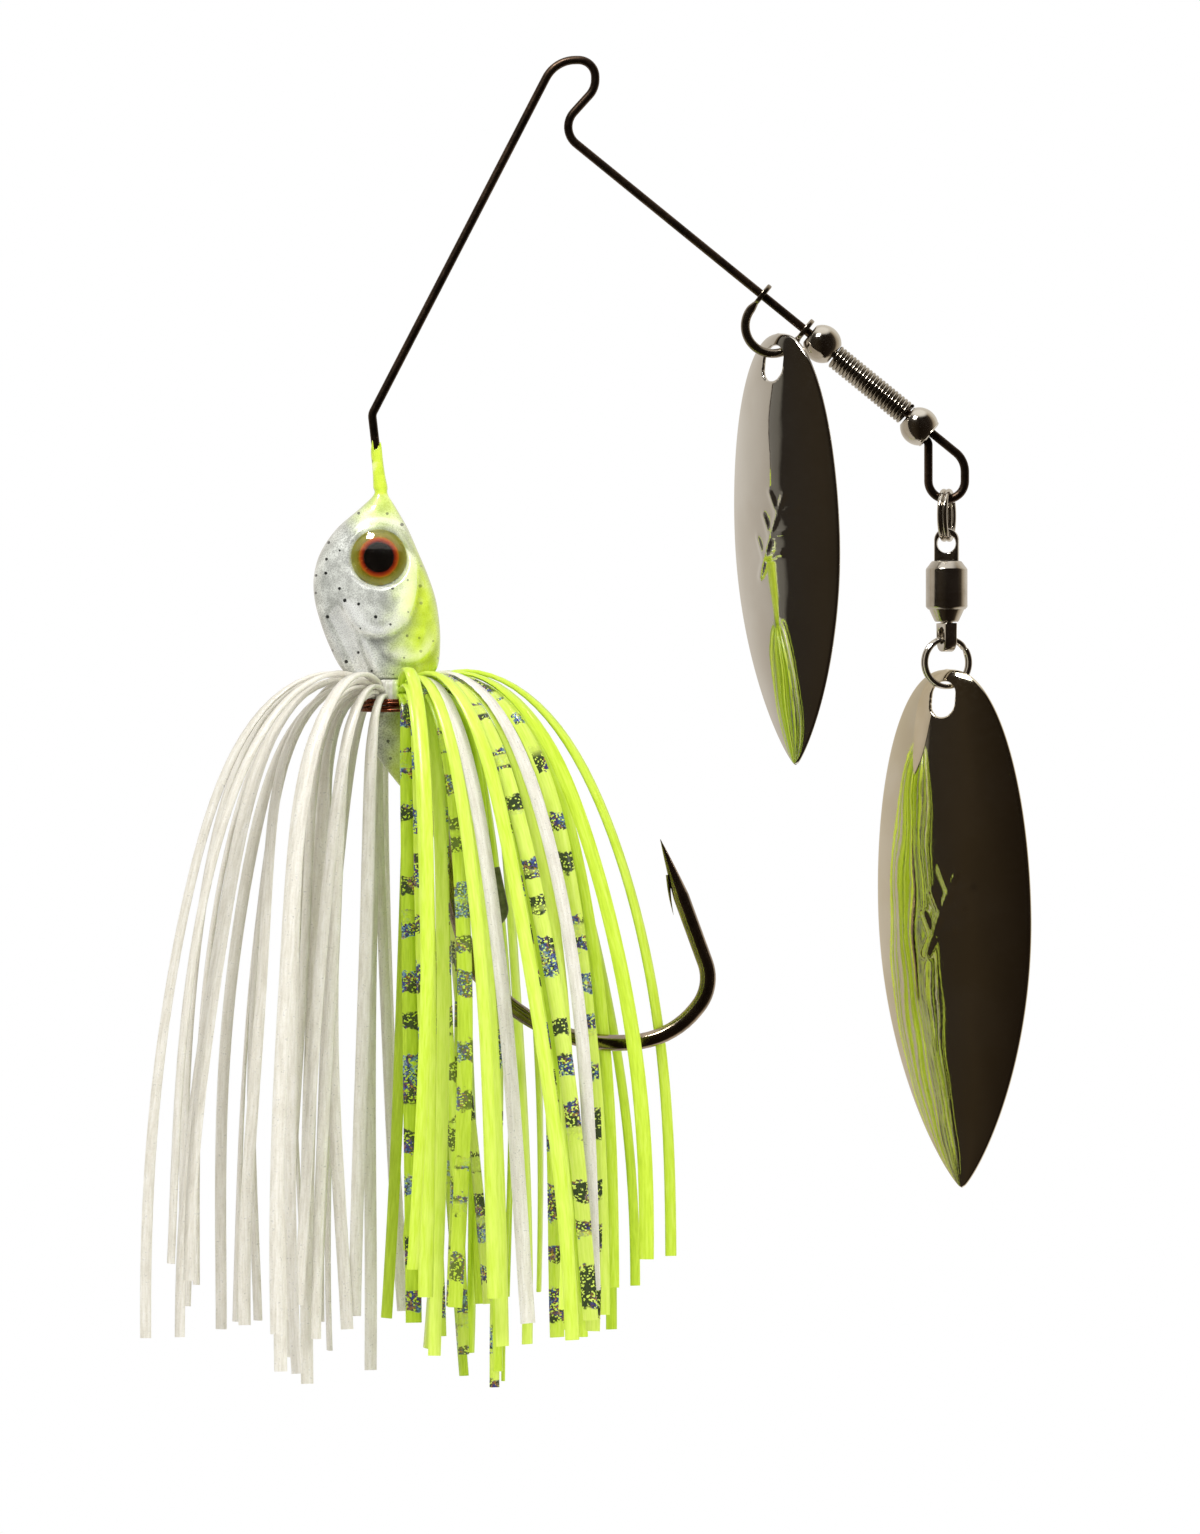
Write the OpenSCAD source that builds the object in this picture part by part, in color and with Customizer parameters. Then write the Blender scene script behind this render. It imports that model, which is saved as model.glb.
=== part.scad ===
// Tandem willow-leaf spinnerbait, hanging from its line tie.
// Origin: centre of the line-tie bend. +Z up, +X towards the blades.
// The wire and the hook lie in the XZ plane.

/* [Wire form] */
// Diameter of the spring-steel wire
wire_d = 0.9; // [0.8:0.05:1]
// Straight length from the line tie down to the kink above the head
leader_len = 39.5; // [36:0.5:42]
// Straight length of the blade arm
arm_len = 51.5; // [50:0.5:53]
// Slope of the blade arm below horizontal, in degrees
arm_slope = 39.13; // [38:0.1:40]
// Bend radius at the top of the line tie, to the middle of the wire
tie_r = 1.77; // [1.7:0.01:1.85]

/* [Blades] */
// Length of the front blade
blade_small_len = 45.4; // [44:0.2:46]
// Width of the front blade
blade_small_w = 15.4; // [14.6:0.1:15.8]
// Length of the rear blade
blade_large_len = 54.6; // [53:0.2:55]
// Width of the rear blade
blade_large_w = 18.4; // [17.6:0.1:18.8]
// Thickness of the blade sheet
blade_t = 0.45; // [0.4:0.05:0.5]
// Depth of the cup pressed into each blade
blade_cup = 2.3; // [1.8:0.1:2.6]

/* [Beads, spacer and rings] */
// Outer diameter of the hollow beads
bead_d = 4.05; // [4:0.05:4.2]
// Bore of the beads, wide enough for the arm and its tucked end
bead_bore = 2.3; // [2.25:0.05:2.35]
// Wire diameter of the spacer spring
spacer_wire = 0.42; // [0.38:0.02:0.44]
// Outer diameter of the spacer spring
spacer_d = 2.6; // [2.5:0.05:2.7]
// Wire diameter of the split rings
ring_wire = 0.6; // [0.55:0.05:0.6]
// Mean diameter of the split rings
ring_mean_d = 5.08; // [5:0.02:5.1]

/* [Clevis] */
// Distance between the two eyelets along the arm
clevis_gap = 5.8; // [5.6:0.1:5.9]
// Wire diameter of the clevis
clevis_wire = 0.96; // [0.9:0.02:1]
// Hole in each eyelet
clevis_bore = 1.2; // [1.1:0.05:1.3]

/* [Ball-bearing swivel] */
// Outer diameter of the barrel
barrel_d = 4.4; // [4.2:0.1:4.5]
// Diameter of the rotating stem
stem_d = 1.3; // [1.2:0.05:1.35]
// Number of bearing balls
ball_count = 8; // [6:1:8]
// Diameter of one ball
ball_d = 0.7; // [0.6:0.05:0.7]

/* [Hook and head] */
// Wire diameter of the hook
hook_d = 1.7; // [1.5:0.05:1.8]
// Thickness of the head between its cheeks
head_t = 7.8; // [7:0.1:8.2]
// Diameter of the stick-on eye
eye_d = 5.2; // [4.8:0.1:5.4]

/* [Skirt] */
// Strands in each of the four layers
strands_per_layer = 13; // [9:1:13]
// Length of the longest strand
strand_len = 83; // [76:1:85]
// Thickness of the silicone strip
strand_t = 0.4; // [0.3:0.05:0.42]

/* [Hidden] */
$fn = 64;
cut = 0.01;

// Wire form: each step is [straight length, bend radius, bend angle to the left].
// A bend is drawn a little thinner than the straights and laps into them at both ends.
bend_lap = 0.1;
bend_thin = 0.03;
leader_turn = 62.64;
kink_turn = 33.9;
neck_len = 17;
LEADER = [[0, 3.5, leader_turn], [leader_len, 1.2, kink_turn], [neck_len, 0, 0]];
notch_turn = 132.2;
tie_flat = 0.3;
tie_from = [-0.25, 1.85];
notch_r = 2.3;
loop_r = 1.92;
arm_turn = notch_turn - arm_slope;
TIE = [[tie_flat, tie_r, -90], [0.3, 2.45, 90 - notch_turn], [2.4, notch_r, arm_turn]];
tuck_turn = 90 - arm_slope;
ARM = [[arm_len, 2.6, arm_slope - 90], [0.97, loop_r, -180], [3.76, 0.8, tuck_turn], [2.1, 0, 0]];
arm_start = path_end(TIE, tie_from, 0);

// Places along the arm, measured from its start
clevis_at = 25.25;
bead_upper_at = 33.39;
bead_lower_at = 46.78;
tuck_offset = 0.3;

// Loop, rings and swivel hang on one vertical line
loop_start = path_end(concat(TIE, [ARM[0]]), tie_from, 0);
chain_x = loop_start[0] - loop_r;
loop_low_z = loop_start[1] - ARM[1][0] - loop_r;
ring_inner_r = (ring_mean_d - ring_wire) / 2;
ring_upper_z = loop_low_z + wire_d / 2 + 0.09 - ring_inner_r;
ring_upper_yaw = 13;
upper_hole_r = 0.95;
upper_hole_z = ring_upper_z - ring_mean_d / 2 - 0.43;
barrel_top_z = -50.9;
barrel_low_z = -56.0;
cap_low_z = -57.3;
barrel_wall = 0.35;
race_z = -54.65;
race_r = 1.2;
lower_eye_yaw = 22;
lower_hole_r = 0.85;
lower_hole_z = -58.75;
ring_lower_z = lower_hole_z - 0.3 - ring_mean_d / 2;

// Blades: where each one's top is, and how far it is turned about the vertical
blade_small_top = [20.75, -26.95];
blade_small_yaw = -47;
blade_small_lean = 2.2;
blade_large_top = [38.55, -62.3];
blade_large_yaw = -33;
blade_large_lean = 1.6;
hole_w = 3.1;
hole_tall = 4;
hole_drop = 1.15;

// Head: each station is [height, left, right, half thickness as a share of head_t / 2]
HEAD = [[-43.9, -21.5, -20.0, 0.17], [-45.3, -22.9, -19.2, 0.4], [-47.5, -25.4, -17.9, 0.68],
    [-50, -27.1, -16.8, 0.9], [-52.5, -27.8, -15.7, 0.98], [-55, -27.7, -14.9, 1],
    [-57.7, -27, -14.55, 0.96], [-60, -26.1, -14.5, 0.9], [-62.2, -24.85, -14.8, 0.78],
    [-63.2, -23.2, -15.8, 0.66]];
KEEL = [[-66.95, -21.2, -17.2, 0.42], [-67.6, -21.9, -15.9, 0.46], [-70, -21.8, -15, 0.46],
    [-72.2, -20.6, -14.5, 0.42], [-75, -18.4, -14, 0.36], [-77.1, -16.6, -13.75, 0.3]];
collar_x = -19.2;
collar_r = 1.7;
collar_top_z = -63;
tie_z = -66.08;
eye_x = -20.88;
eye_z = -50.58;
eye_floor = 2.95;

// Hook: straight shank, heel, round bend and spear, as bending steps
hook_exit = [-14.81, -77.11];
hook_heading = -80.55;
hook_in_head = 7.5;
HOOK = [[5.8, 60, 6.25], [3.6, 4, 27.8], [2.3, 18, 50.8], [0.4, 9.2, 47.2], [0.4, 4.8, 58.5], [7.4, 0, 0]];
spear_len = 6.4;
keeper_wire = 0.9;
KEEPER = [[5.4, 1.55, 180], [4.2, 0, 0]];

// Skirt strands start round the collar bundle
bundle_r = 3.35;
strand_w = 1.2;
strand_rings = 11;
layer_drop = 0.4;
LAYER_BEND = [14, 10.2, 6.8, 4.2];
LAYER_RISE = [38, 28, 16, 4];
hook_gap_deg = 22;
skirt_flat = 0.85;

// ---------- helpers ----------

// End point of a list of bending steps, in plane coordinates.
function path_end(steps, at, heading, i = 0) =
    i == len(steps) ? at :
    let (run = steps[i][0], r = steps[i][1], turn = steps[i][2],
        side = turn < 0 ? -1 : 1,
        p = at + run * [cos(heading), sin(heading)],
        c = p + side * r * [-sin(heading), cos(heading)],
        q = c - side * r * [-sin(heading + turn), cos(heading + turn)])
    path_end(steps, q, heading + turn, i + 1);

// Lays a drawing made in the XY plane into the XZ plane.
module in_plane() {
    rotate([90, 0, 0]) children();
}

// Round wire that follows bending steps from the origin along +X. Children sit at its end.
module bent_wire(steps, d, i = 0) {
    if (i < len(steps)) {
        run = steps[i][0];
        r = steps[i][1];
        turn = steps[i][2];
        side = turn < 0 ? -1 : 1;
        if (run > 0) rotate([0, 90, 0]) cylinder(h = run, d = d);
        translate([run, 0, 0]) {
            if (r > 0) mirror([0, turn < 0 ? 1 : 0, 0]) translate([0, r, 0]) {
                lap = bend_lap / r * 180 / PI;
                rotate([0, 0, -90 - lap]) rotate_extrude(angle = abs(turn) + 2 * lap)
                    translate([r, 0]) circle(d = d - bend_thin);
            }
            translate([0, side * r, 0]) rotate([0, 0, turn]) translate([0, -side * r, 0])
                bent_wire(steps, d, i + 1) children();
        }
    } else children();
}

// Puts children on the blade arm: local X runs down the arm, local Y stands up from it.
module on_arm(u) {
    in_plane() translate(arm_start) rotate([0, 0, -arm_slope]) translate([u, 0, 0]) children();
}

// Closed tube through a list of rings, each a list of points in the same order.
module skin(rings) {
    n = len(rings[0]);
    m = len(rings);
    polyhedron(
        points = [for (ring = rings) for (p = ring) p],
        faces = concat(
            [[for (j = [0:n - 1]) j]],
            [for (i = [0:m - 2]) for (j = [0:n - 1]) let (k = (j + 1) % n)
                [i * n + j, (i + 1) * n + j, (i + 1) * n + k, i * n + k]],
            [[for (j = [n - 1:-1:0]) (m - 1) * n + j]]),
        convexity = 6);
}

// Coil of round wire about Z, from z = 0 upwards.
module coil(r, wire, pitch, turns, per_turn, sides) {
    skin([for (i = [0:turns * per_turn]) let (a = 360 * i / per_turn)
        [for (j = [0:sides - 1]) let (b = 360 * j / sides, w = wire / 2)
            [(r + w * cos(b)) * cos(a), (r + w * cos(b)) * sin(a), pitch * i / per_turn + w * sin(b)]]]);
}

function smooth(a, b, c, d, t) =
    b + 0.5 * t * (c - a + t * (2 * a - 5 * b + 4 * c - d + t * (3 * (b - c) + d - a)));

// Smooth value of one column of a station table, at a place counted in stations.
function station(table, s, col) =
    let (last = len(table) - 1, i = min(floor(s), last - 1))
    smooth(table[max(i - 1, 0)][col], table[i][col], table[i + 1][col],
        table[min(i + 2, last)][col], s - i);

function bulge(v, e) = sign(v) * pow(abs(v), e);

// Smooth body through the stations of a table, with rounded-lens sections.
module loft(table, steps, sides) {
    skin([for (k = [0:(len(table) - 1) * steps]) let (s = k / steps,
        left = station(table, s, 1), right = station(table, s, 2),
        half = station(table, s, 3) * head_t / 2)
        [for (j = [0:sides - 1]) let (a = 360 * j / sides)
            [(left + right) / 2 + (right - left) / 2 * bulge(cos(a), 0.9),
             -half * bulge(sin(a), 0.85), station(table, s, 0)]]]);
}

// ---------- wire form ----------

module wire_shape() {
    in_plane() {
        translate(tie_from) {
            bent_wire(concat(TIE, ARM), wire_d);
            rotate([0, 0, 180]) bent_wire(LEADER, wire_d);
        }
    }
}

module wire_frame() {
    color("#4a3527") wire_shape();
}

// ---------- head, eyes and hook ----------

module hook_shape() {
    in_plane() translate(hook_exit) rotate([0, 0, hook_heading]) {
        rotate([0, -90, 0]) cylinder(h = hook_in_head, d = hook_d);
        bent_wire(HOOK, hook_d) {
            translate([-bend_lap, 0, 0]) rotate([0, 90, 0])
                cylinder(h = spear_len + bend_lap, d1 = hook_d - bend_thin, d2 = 0.12);
            barb();
        }
    }
}

// Barb cut up from the inside of the spear.
module barb() {
    translate([0, 0, -0.3]) linear_extrude(height = 0.6)
        polygon([[1.2, 0.5], [-1.6, 1.45], [-1.75, 1.2], [-0.2, 0.35]]);
}

module hook() {
    color("#2c2a27") hook_shape();
}

module keeper_shape() {
    in_plane() translate([-11.95, -82.6]) rotate([0, 0, -78]) bent_wire(KEEPER, keeper_wire);
}

module trailer_keeper() {
    color("#4b4d33") difference() {
        keeper_shape();
        hook_shape();
    }
}

module eye_places(side) {
    translate([eye_x, side * eye_floor, eye_z]) rotate([side * -90, 0, 0]) children();
}

// Painted lead body, cast round the wire and the hook shank.
module head() {
    color("#e8ecd2") difference() {
        union() {
            loft(HEAD, 3, 22);
            loft(KEEL, 3, 16);
            translate([collar_x, 0, KEEL[0][0] - 0.3])
                cylinder(h = collar_top_z - KEEL[0][0] + 0.3, r = collar_r);
            in_plane() translate([-20.74, -44.05]) rotate([0, 0, 96.5]) rotate([0, 90, 0])
                cylinder(h = 4.6, d1 = 1.7, d2 = 1.3);
        }
        for (side = [-1, 1]) eye_places(side) cylinder(h = 4, d = eye_d + 0.04);
        wire_shape();
        hook_shape();
    }
}

module eye_foil(side) {
    eye_places(side) cylinder(h = 0.25, d = eye_d);
}

module eye_foil_near() {
    color("#c8442a") eye_foil(-1);
}

module eye_foil_far() {
    color("#c8442a") eye_foil(1);
}

// Clear resin cap over the printed foil.
module eye_dome(side) {
    rise = 0.85;
    r = (pow(eye_d / 2, 2) + rise * rise) / (2 * rise);
    eye_places(side) translate([0, 0, 0.26]) intersection() {
        translate([0, 0, rise - r]) sphere(r = r);
        cylinder(h = rise + cut, d = eye_d);
    }
}

module eye_dome_near() {
    color("#f4f4f0", 0.4) eye_dome(-1);
}

module eye_dome_far() {
    color("#f4f4f0", 0.4) eye_dome(1);
}

// ---------- skirt ----------

// Pinched middle of all the strands, under the tie wire.
module skirt_collar() {
    color("#dfe3c0") translate([collar_x, 0, 0]) rotate_extrude()
        translate([collar_r + 0.03, -66.7]) square([bundle_r - collar_r - 0.08, 3.4]);
}

module tie_wire() {
    turns = 2;
    wire = 0.44;
    color("#7d3a22") translate([collar_x, 0, tie_z - turns * wire / 2])
        coil(bundle_r + wire / 2, wire, wire + 0.02, turns, 36, 10);
}

// Height and reach of one strand: it leaves at an upward angle and bends over under its own weight.
function strand_line(rise, bend, length) =
    let (n = strand_rings, at = function (k) length * pow(k / n, 1.6),
        slope = function (s) -90 + (rise + 90) * exp(-s / bend))
    [for (k = 0, p = [0, 0]; k <= n;
        p = p + (at(k + 1) - at(k)) * [cos(slope(mid(at, k))), sin(slope(mid(at, k)))], k = k + 1) p];

function mid(at, k) = (at(k) + at(k + 1)) / 2;

// One silicone strip, turned to its own side of the collar.
module strand(side_deg, rise, bend, length, z) {
    line = strand_line(rise, bend, length);
    out = [cos(side_deg), skirt_flat * sin(side_deg)];
    across = [-sin(side_deg), cos(side_deg)] * strand_w / 2;
    n = len(line) - 1;
    skin([for (k = [0:n]) let (p = line[k],
        t = line[min(k + 1, n)] - line[max(k - 1, 0)],
        off = [-t[1], t[0]] / norm(t) * strand_t / 2,
        narrow = min(1, 0.6 + 0.4 * k / 3))
        [for (c = [[1, 1], [-1, 1], [-1, -1], [1, -1]])
            let (r = bundle_r + p[0] + c[1] * off[0])
            [collar_x + r * out[0] + c[0] * narrow * across[0],
             bundle_r * (1 - skirt_flat) * sin(side_deg) + r * out[1] + c[0] * narrow * across[1],
             z + p[1] + c[1] * off[1]]]]);
}

// 0 pearl, 1 chartreuse, 2 flake
function strand_kind(layer, i, side_deg) =
    cos(side_deg) < -0.05 ? 0 : (i + layer) % 4 == 0 ? 2 : (i * 3 + layer) % 11 == 5 ? 0 : 1;

module skirt(kind) {
    for (layer = [0:3]) for (i = [0:strands_per_layer - 1]) {
        span = 360 - 2 * hook_gap_deg;
        side_deg = hook_gap_deg + span * (i + (layer % 2) * 0.5) / (strands_per_layer - 0.5);
        vary = rands(-1, 1, 3, layer * 100 + i);
        if (strand_kind(layer, i, side_deg) == kind)
            strand(side_deg, LAYER_RISE[layer] + 2 * vary[0], LAYER_BEND[layer] * (1 + 0.06 * vary[1]),
                strand_len - 4 + 3 * vary[2] - 2 * layer, -63.92 - layer_drop * layer);
    }
}

module skirt_pearl() {
    color("#ece8da") skirt(0);
}

module skirt_chartreuse() {
    color("#c9f22c") skirt(1);
}

module skirt_flake() {
    color("#9fb53a") skirt(2);
}

// ---------- beads, spacer and clevis on the arm ----------

// Hollow bead. A mouth widens one end of its bore for the tucked wire end.
module bead(mouth) {
    bore_r = bead_bore / 2;
    past = bead_d / 2 + 0.5;
    rotate([0, 90, 0]) rotate_extrude() difference() {
        circle(d = bead_d);
        translate([-bead_d, -bead_d]) square([bead_d + bore_r, 2 * bead_d]);
        if (mouth) polygon([[bore_r - 0.2, 0.65], [bore_r + 1.1, past], [bore_r - 0.2, past]]);
    }
}

module bead_lower() {
    color("#b9b6ae") on_arm(bead_lower_at) translate([0, -tuck_offset, 0]) bead(true);
}

module bead_upper() {
    color("#b9b6ae") on_arm(bead_upper_at) bead(false);
}

module spacer_spring() {
    r = (spacer_d - spacer_wire) / 2;
    seat = sqrt(pow(bead_d / 2, 2) - pow(spacer_d / 2, 2)) + spacer_wire / 2 + 0.08;
    length = bead_lower_at - bead_upper_at - 2 * seat;
    turns = 22;
    color("#a9a69d") on_arm(bead_upper_at + seat) translate([0, -tuck_offset / 2, 0]) rotate([0, 90, 0])
        coil(r, spacer_wire, length / turns, turns, 14, 6);
}

// Round-wire stirrup with a flattened, drilled eyelet at each end.
module clevis() {
    leg = 1.82;
    eyelet_d = 2.7;
    eyelet_t = 0.5;
    color("#8d8a80") on_arm(clevis_at) difference() {
        union() {
            for (u = [0, clevis_gap]) translate([u, 0, 0]) {
                rotate([0, 90, 0]) cylinder(h = eyelet_t, d = eyelet_d, center = true);
                translate([0, -leg, 0]) rotate([-90, 0, 0]) cylinder(h = leg - 0.95, d = clevis_wire);
            }
            translate([clevis_gap / 2, -leg, 0]) rotate([0, 0, 180])
                rotate_extrude(angle = 180) translate([clevis_gap / 2, 0]) circle(d = clevis_wire);
        }
        translate([-2, 0, 0]) rotate([0, 90, 0]) cylinder(h = clevis_gap + 4, d = clevis_bore);
    }
}

// ---------- blades ----------

// Share of the full width at a share u of the length from the top.
function leaf(u) = u < 0.46 ? pow(1 - pow((0.46 - u) / 0.46, 2), 0.45)
    : pow(1 - pow((u - 0.46) / 0.54, 2), 0.83);

// Cupped willow leaf hanging from the origin in the XZ plane, with its hollow side at the back.
module leaf_blade(length, width) {
    rows = 30;
    cols = 10;
    place = function (k) (1 - cos(180 * k / rows)) / 2;
    front = function (u, v) -blade_cup * (1 - v * v) * pow(leaf(u), 1.3) * width / 16;
    rings = [for (k = [0:rows]) let (u = 0.002 + 0.996 * place(k), half = leaf(u) * width / 2)
        concat(
            [for (j = [0:cols]) let (v = 2 * j / cols - 1) [v * half, front(u, v), -u * length]],
            [for (j = [cols:-1:0]) let (v = 2 * j / cols - 1)
                [v * half, front(u, v) + blade_t, -u * length]])];
    difference() {
        skin(rings);
        for (z = [hole_drop + hole_w / 2, hole_drop + hole_tall - hole_w / 2])
            translate([0, 0, -z]) rotate([90, 0, 0]) cylinder(h = 8, d = hole_w, center = true);
        translate([-hole_w / 2, -4, -hole_drop - hole_tall + hole_w / 2])
            cube([hole_w, 8, hole_tall - hole_w]);
    }
}

module blade_small() {
    color("#a7a294") translate([blade_small_top[0], 0, blade_small_top[1]])
        rotate([0, -blade_small_lean, 0]) rotate([0, 0, blade_small_yaw]) translate([0, 0.4, 0])
            leaf_blade(blade_small_len, blade_small_w);
}

module blade_large() {
    color("#b8ab80") translate([blade_large_top[0], 0, blade_large_top[1]])
        rotate([0, -blade_large_lean, 0]) rotate([0, 0, blade_large_yaw]) translate([0, 0.5, 0])
            leaf_blade(blade_large_len, blade_large_w);
}

// ---------- rings and swivel ----------

// Two-turn split ring in the YZ plane.
module split_ring() {
    rotate([0, 90, 0]) rotate_extrude() for (s = [-1, 1])
        translate([ring_mean_d / 2, s * 0.27]) circle(d = ring_wire);
}

module ring_upper() {
    color("#b3b0a6") translate([chain_x, 0, ring_upper_z]) rotate([0, 0, -ring_upper_yaw]) split_ring();
}

module ring_lower() {
    color("#b3b0a6") translate([chain_x, 0, ring_lower_z]) rotate([0, 0, lower_eye_yaw - 90]) split_ring();
}

// Flat strap with a round end and a hole along Y.
module eye_strap(w, t, low_z, high_z, round_up, hole_z, hole_r) {
    end_z = round_up ? high_z - w / 2 : low_z + w / 2;
    body_low = round_up ? low_z : end_z;
    body_high = round_up ? end_z : high_z;
    difference() {
        union() {
            translate([-w / 2, -t / 2, body_low]) cube([w, t, body_high - body_low]);
            translate([0, 0, end_z]) rotate([90, 0, 0]) cylinder(h = t, d = w, center = true);
        }
        translate([0, 0, hole_z]) rotate([90, 0, 0]) cylinder(h = t + 2, r = hole_r, center = true);
    }
}

module swivel_upper_eye() {
    color("#a39f94") translate([chain_x, 0, 0]) {
        rotate([0, 0, -8]) eye_strap(2.55, 1.2, barrel_top_z - 0.2, upper_hole_z + 1.62, true,
            upper_hole_z, upper_hole_r);
        translate([0, 0, barrel_top_z - 1.3]) cylinder(h = 1.15, d = stem_d);
        translate([0, 0, barrel_top_z - 1.52]) cylinder(h = 0.4, d = 2.2);
    }
}

module barrel_outline() {
    r = barrel_d / 2;
    polygon([[1.35, barrel_top_z], [r, barrel_top_z - 0.85], [r, barrel_low_z + 0.3],
        [r - 0.25, barrel_low_z], [r - barrel_wall, barrel_low_z],
        [r - barrel_wall, barrel_top_z - 1.1], [0, barrel_top_z - 1.1], [0, barrel_top_z]]);
}

module swivel_barrel() {
    color("#8f8b80") translate([chain_x, 0, 0]) difference() {
        rotate_extrude() barrel_outline();
        translate([0, 0, barrel_top_z - 0.15 - 1]) cylinder(h = 2, d = stem_d);
        translate([0, 0, barrel_top_z - 0.2]) rotate([0, 0, -8])
            translate([-1.275, -0.6, 0]) cube([2.55, 1.2, 1]);
    }
}

// Pressed-in end cap: its top face is the ball race.
module swivel_cap() {
    r = barrel_d / 2 - barrel_wall;
    top_z = race_z - ball_d / 2 - 0.02;
    bore_r = stem_d / 2 + 0.07;
    color("#b0aca0") translate([chain_x, 0, 0]) rotate_extrude()
        polygon([[bore_r, top_z], [r, top_z], [r, barrel_low_z], [1.22, cap_low_z], [bore_r, cap_low_z]]);
}

module bearing_balls() {
    color("#c9c9c9") translate([chain_x, 0, race_z]) for (i = [0:ball_count - 1])
        rotate([0, 0, 360 * i / ball_count]) translate([race_r, 0, 0]) sphere(d = ball_d, $fn = 32);
}

// Rotating stem: a flange rides on the balls, and the flat eye hangs below the cap.
module swivel_lower_eye() {
    color("#a39f94") translate([chain_x, 0, 0]) {
        flange_z = race_z + ball_d / 2 + 0.02;
        translate([0, 0, flange_z]) cylinder(h = 0.6, r = race_r + 0.4);
        translate([0, 0, cap_low_z - 0.3]) cylinder(h = flange_z - cap_low_z + 0.4, d = stem_d);
        rotate([0, 0, lower_eye_yaw - 90]) eye_strap(2.5, 1.35, lower_hole_z - 1.7, cap_low_z - 0.12, false,
            lower_hole_z, lower_hole_r);
    }
}

wire_frame();
head();
eye_foil_near();
eye_foil_far();
eye_dome_near();
eye_dome_far();
hook();
trailer_keeper();
skirt_collar();
skirt_pearl();
skirt_chartreuse();
skirt_flake();
tie_wire();
bead_lower();
spacer_spring();
bead_upper();
clevis();
blade_small();
ring_upper();
swivel_upper_eye();
swivel_barrel();
swivel_cap();
bearing_balls();
swivel_lower_eye();
ring_lower();
blade_large();
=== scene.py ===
"""Looks of the tandem spinnerbait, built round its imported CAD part. Lengths are in mm until placed."""
import math
import random

import bpy
import numpy as np
from mathutils import Matrix, Vector


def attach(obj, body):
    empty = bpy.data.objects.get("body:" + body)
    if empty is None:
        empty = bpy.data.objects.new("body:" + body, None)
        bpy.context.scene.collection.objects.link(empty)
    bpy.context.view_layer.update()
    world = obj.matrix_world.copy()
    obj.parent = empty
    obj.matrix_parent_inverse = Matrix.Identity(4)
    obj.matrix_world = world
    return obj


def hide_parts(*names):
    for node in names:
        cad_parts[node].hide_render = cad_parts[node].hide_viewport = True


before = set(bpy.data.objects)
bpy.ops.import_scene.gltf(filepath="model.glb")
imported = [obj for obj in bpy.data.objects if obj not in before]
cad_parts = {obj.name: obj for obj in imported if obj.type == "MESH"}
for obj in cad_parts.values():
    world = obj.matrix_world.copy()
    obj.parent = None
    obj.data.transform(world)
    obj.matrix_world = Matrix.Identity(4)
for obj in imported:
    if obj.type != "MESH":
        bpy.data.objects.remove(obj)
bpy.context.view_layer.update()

MM = 0.001

# ---------- main sizes, as in the CAD source
WIRE_R = 0.45
ARM_SLOPE = 39.13
ARM_LEN = 51.5
TIE_FROM = (-0.25, 1.85)
NOTCH_TURN = 132.2
TIE = [(0.3, 1.77, -90), (0.3, 2.45, 90 - NOTCH_TURN), (2.4, 2.3, NOTCH_TURN - ARM_SLOPE)]
ARM = [(ARM_LEN, 2.6, ARM_SLOPE - 90), (0.97, 1.92, -180), (3.76, 0.8, 90 - ARM_SLOPE), (2.1, 0, 0)]
LEADER = [(0, 3.5, 62.64), (39.5, 1.2, 33.9), (17, 0, 0)]
HOOK_R = 0.85
HOOK_EXIT = (-14.81, -77.11)
HOOK_HEADING = -80.55
HOOK = [(5.8, 60, 6.25), (3.6, 4, 27.8), (2.3, 18, 50.8), (0.4, 9.2, 47.2), (0.4, 4.8, 58.5), (7.4, 0, 0)]
SPEAR = 6.4
POINT_R = 0.03
BARB_BOW = 0.12
SHANK_IN_HEAD = 7.5
KEEPER = [(5.4, 1.55, 180), (4.2, 0, 0)]
KEEPER_FROM = (-11.95, -82.6)
KEEPER_HEADING = -78
COLLAR_X = -19.2
BUNDLE_R = 3.35
TIE_WRAP_Z = -66.08
TIE_WRAP_R = 0.18
EYE = (-20.88, -50.58)
CHAIN_X = 38.814
RING_R = 2.54
RING_WIRE_R = 0.3
RING_PLAY = 0.025
RING_STEP = 0.54
RING_UPPER_Z = -46.08
RING_LOWER_Z = -61.59
BARREL_TOP = -50.9
BARREL_LOW = -56.0
CAP_LOW = -57.3
BARREL_R = 2.2
BEAD_R = 2.025
BEAD_BORE_R = 1.15
BEAD_UPPER_AT = 33.39
BEAD_LOWER_AT = 46.78
CLEVIS_AT = 25.25
CLEVIS_GAP = 5.8
CLEVIS_LEG = 1.82
CLEVIS_EYE = 0.98
CLEVIS_WIRE_R = 0.48
SPACER_R = 1.3
SPACER_WIRE_R = 0.21
SPACER_TURNS = 22
SPACER_PLAY = 0.14
TUCK_OFFSET = 0.3
BLADE_T = 0.45
BLADE_CUP = 2.3
HOLE_W = 3.1
HOLE_TALL = 4.0
HOLE_DROP = 1.15
BLADES = {
    "small": dict(node="blade_small", body="front_blade", top=(20.75, -26.95), yaw=-47, lean=2.2,
                  length=45.4, width=15.4, offset=0.4, slot="blade_nickel"),
    "large": dict(node="blade_large", body="rear_blade", top=(38.55, -62.3), yaw=-33, lean=1.6,
                  length=54.6, width=18.4, offset=0.5, slot="blade_nickel_warm"),
}


# ---------- mesh tools
def linked(name, data):
    obj = bpy.data.objects.new(name, data)
    bpy.context.scene.collection.objects.link(obj)
    return obj


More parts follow.
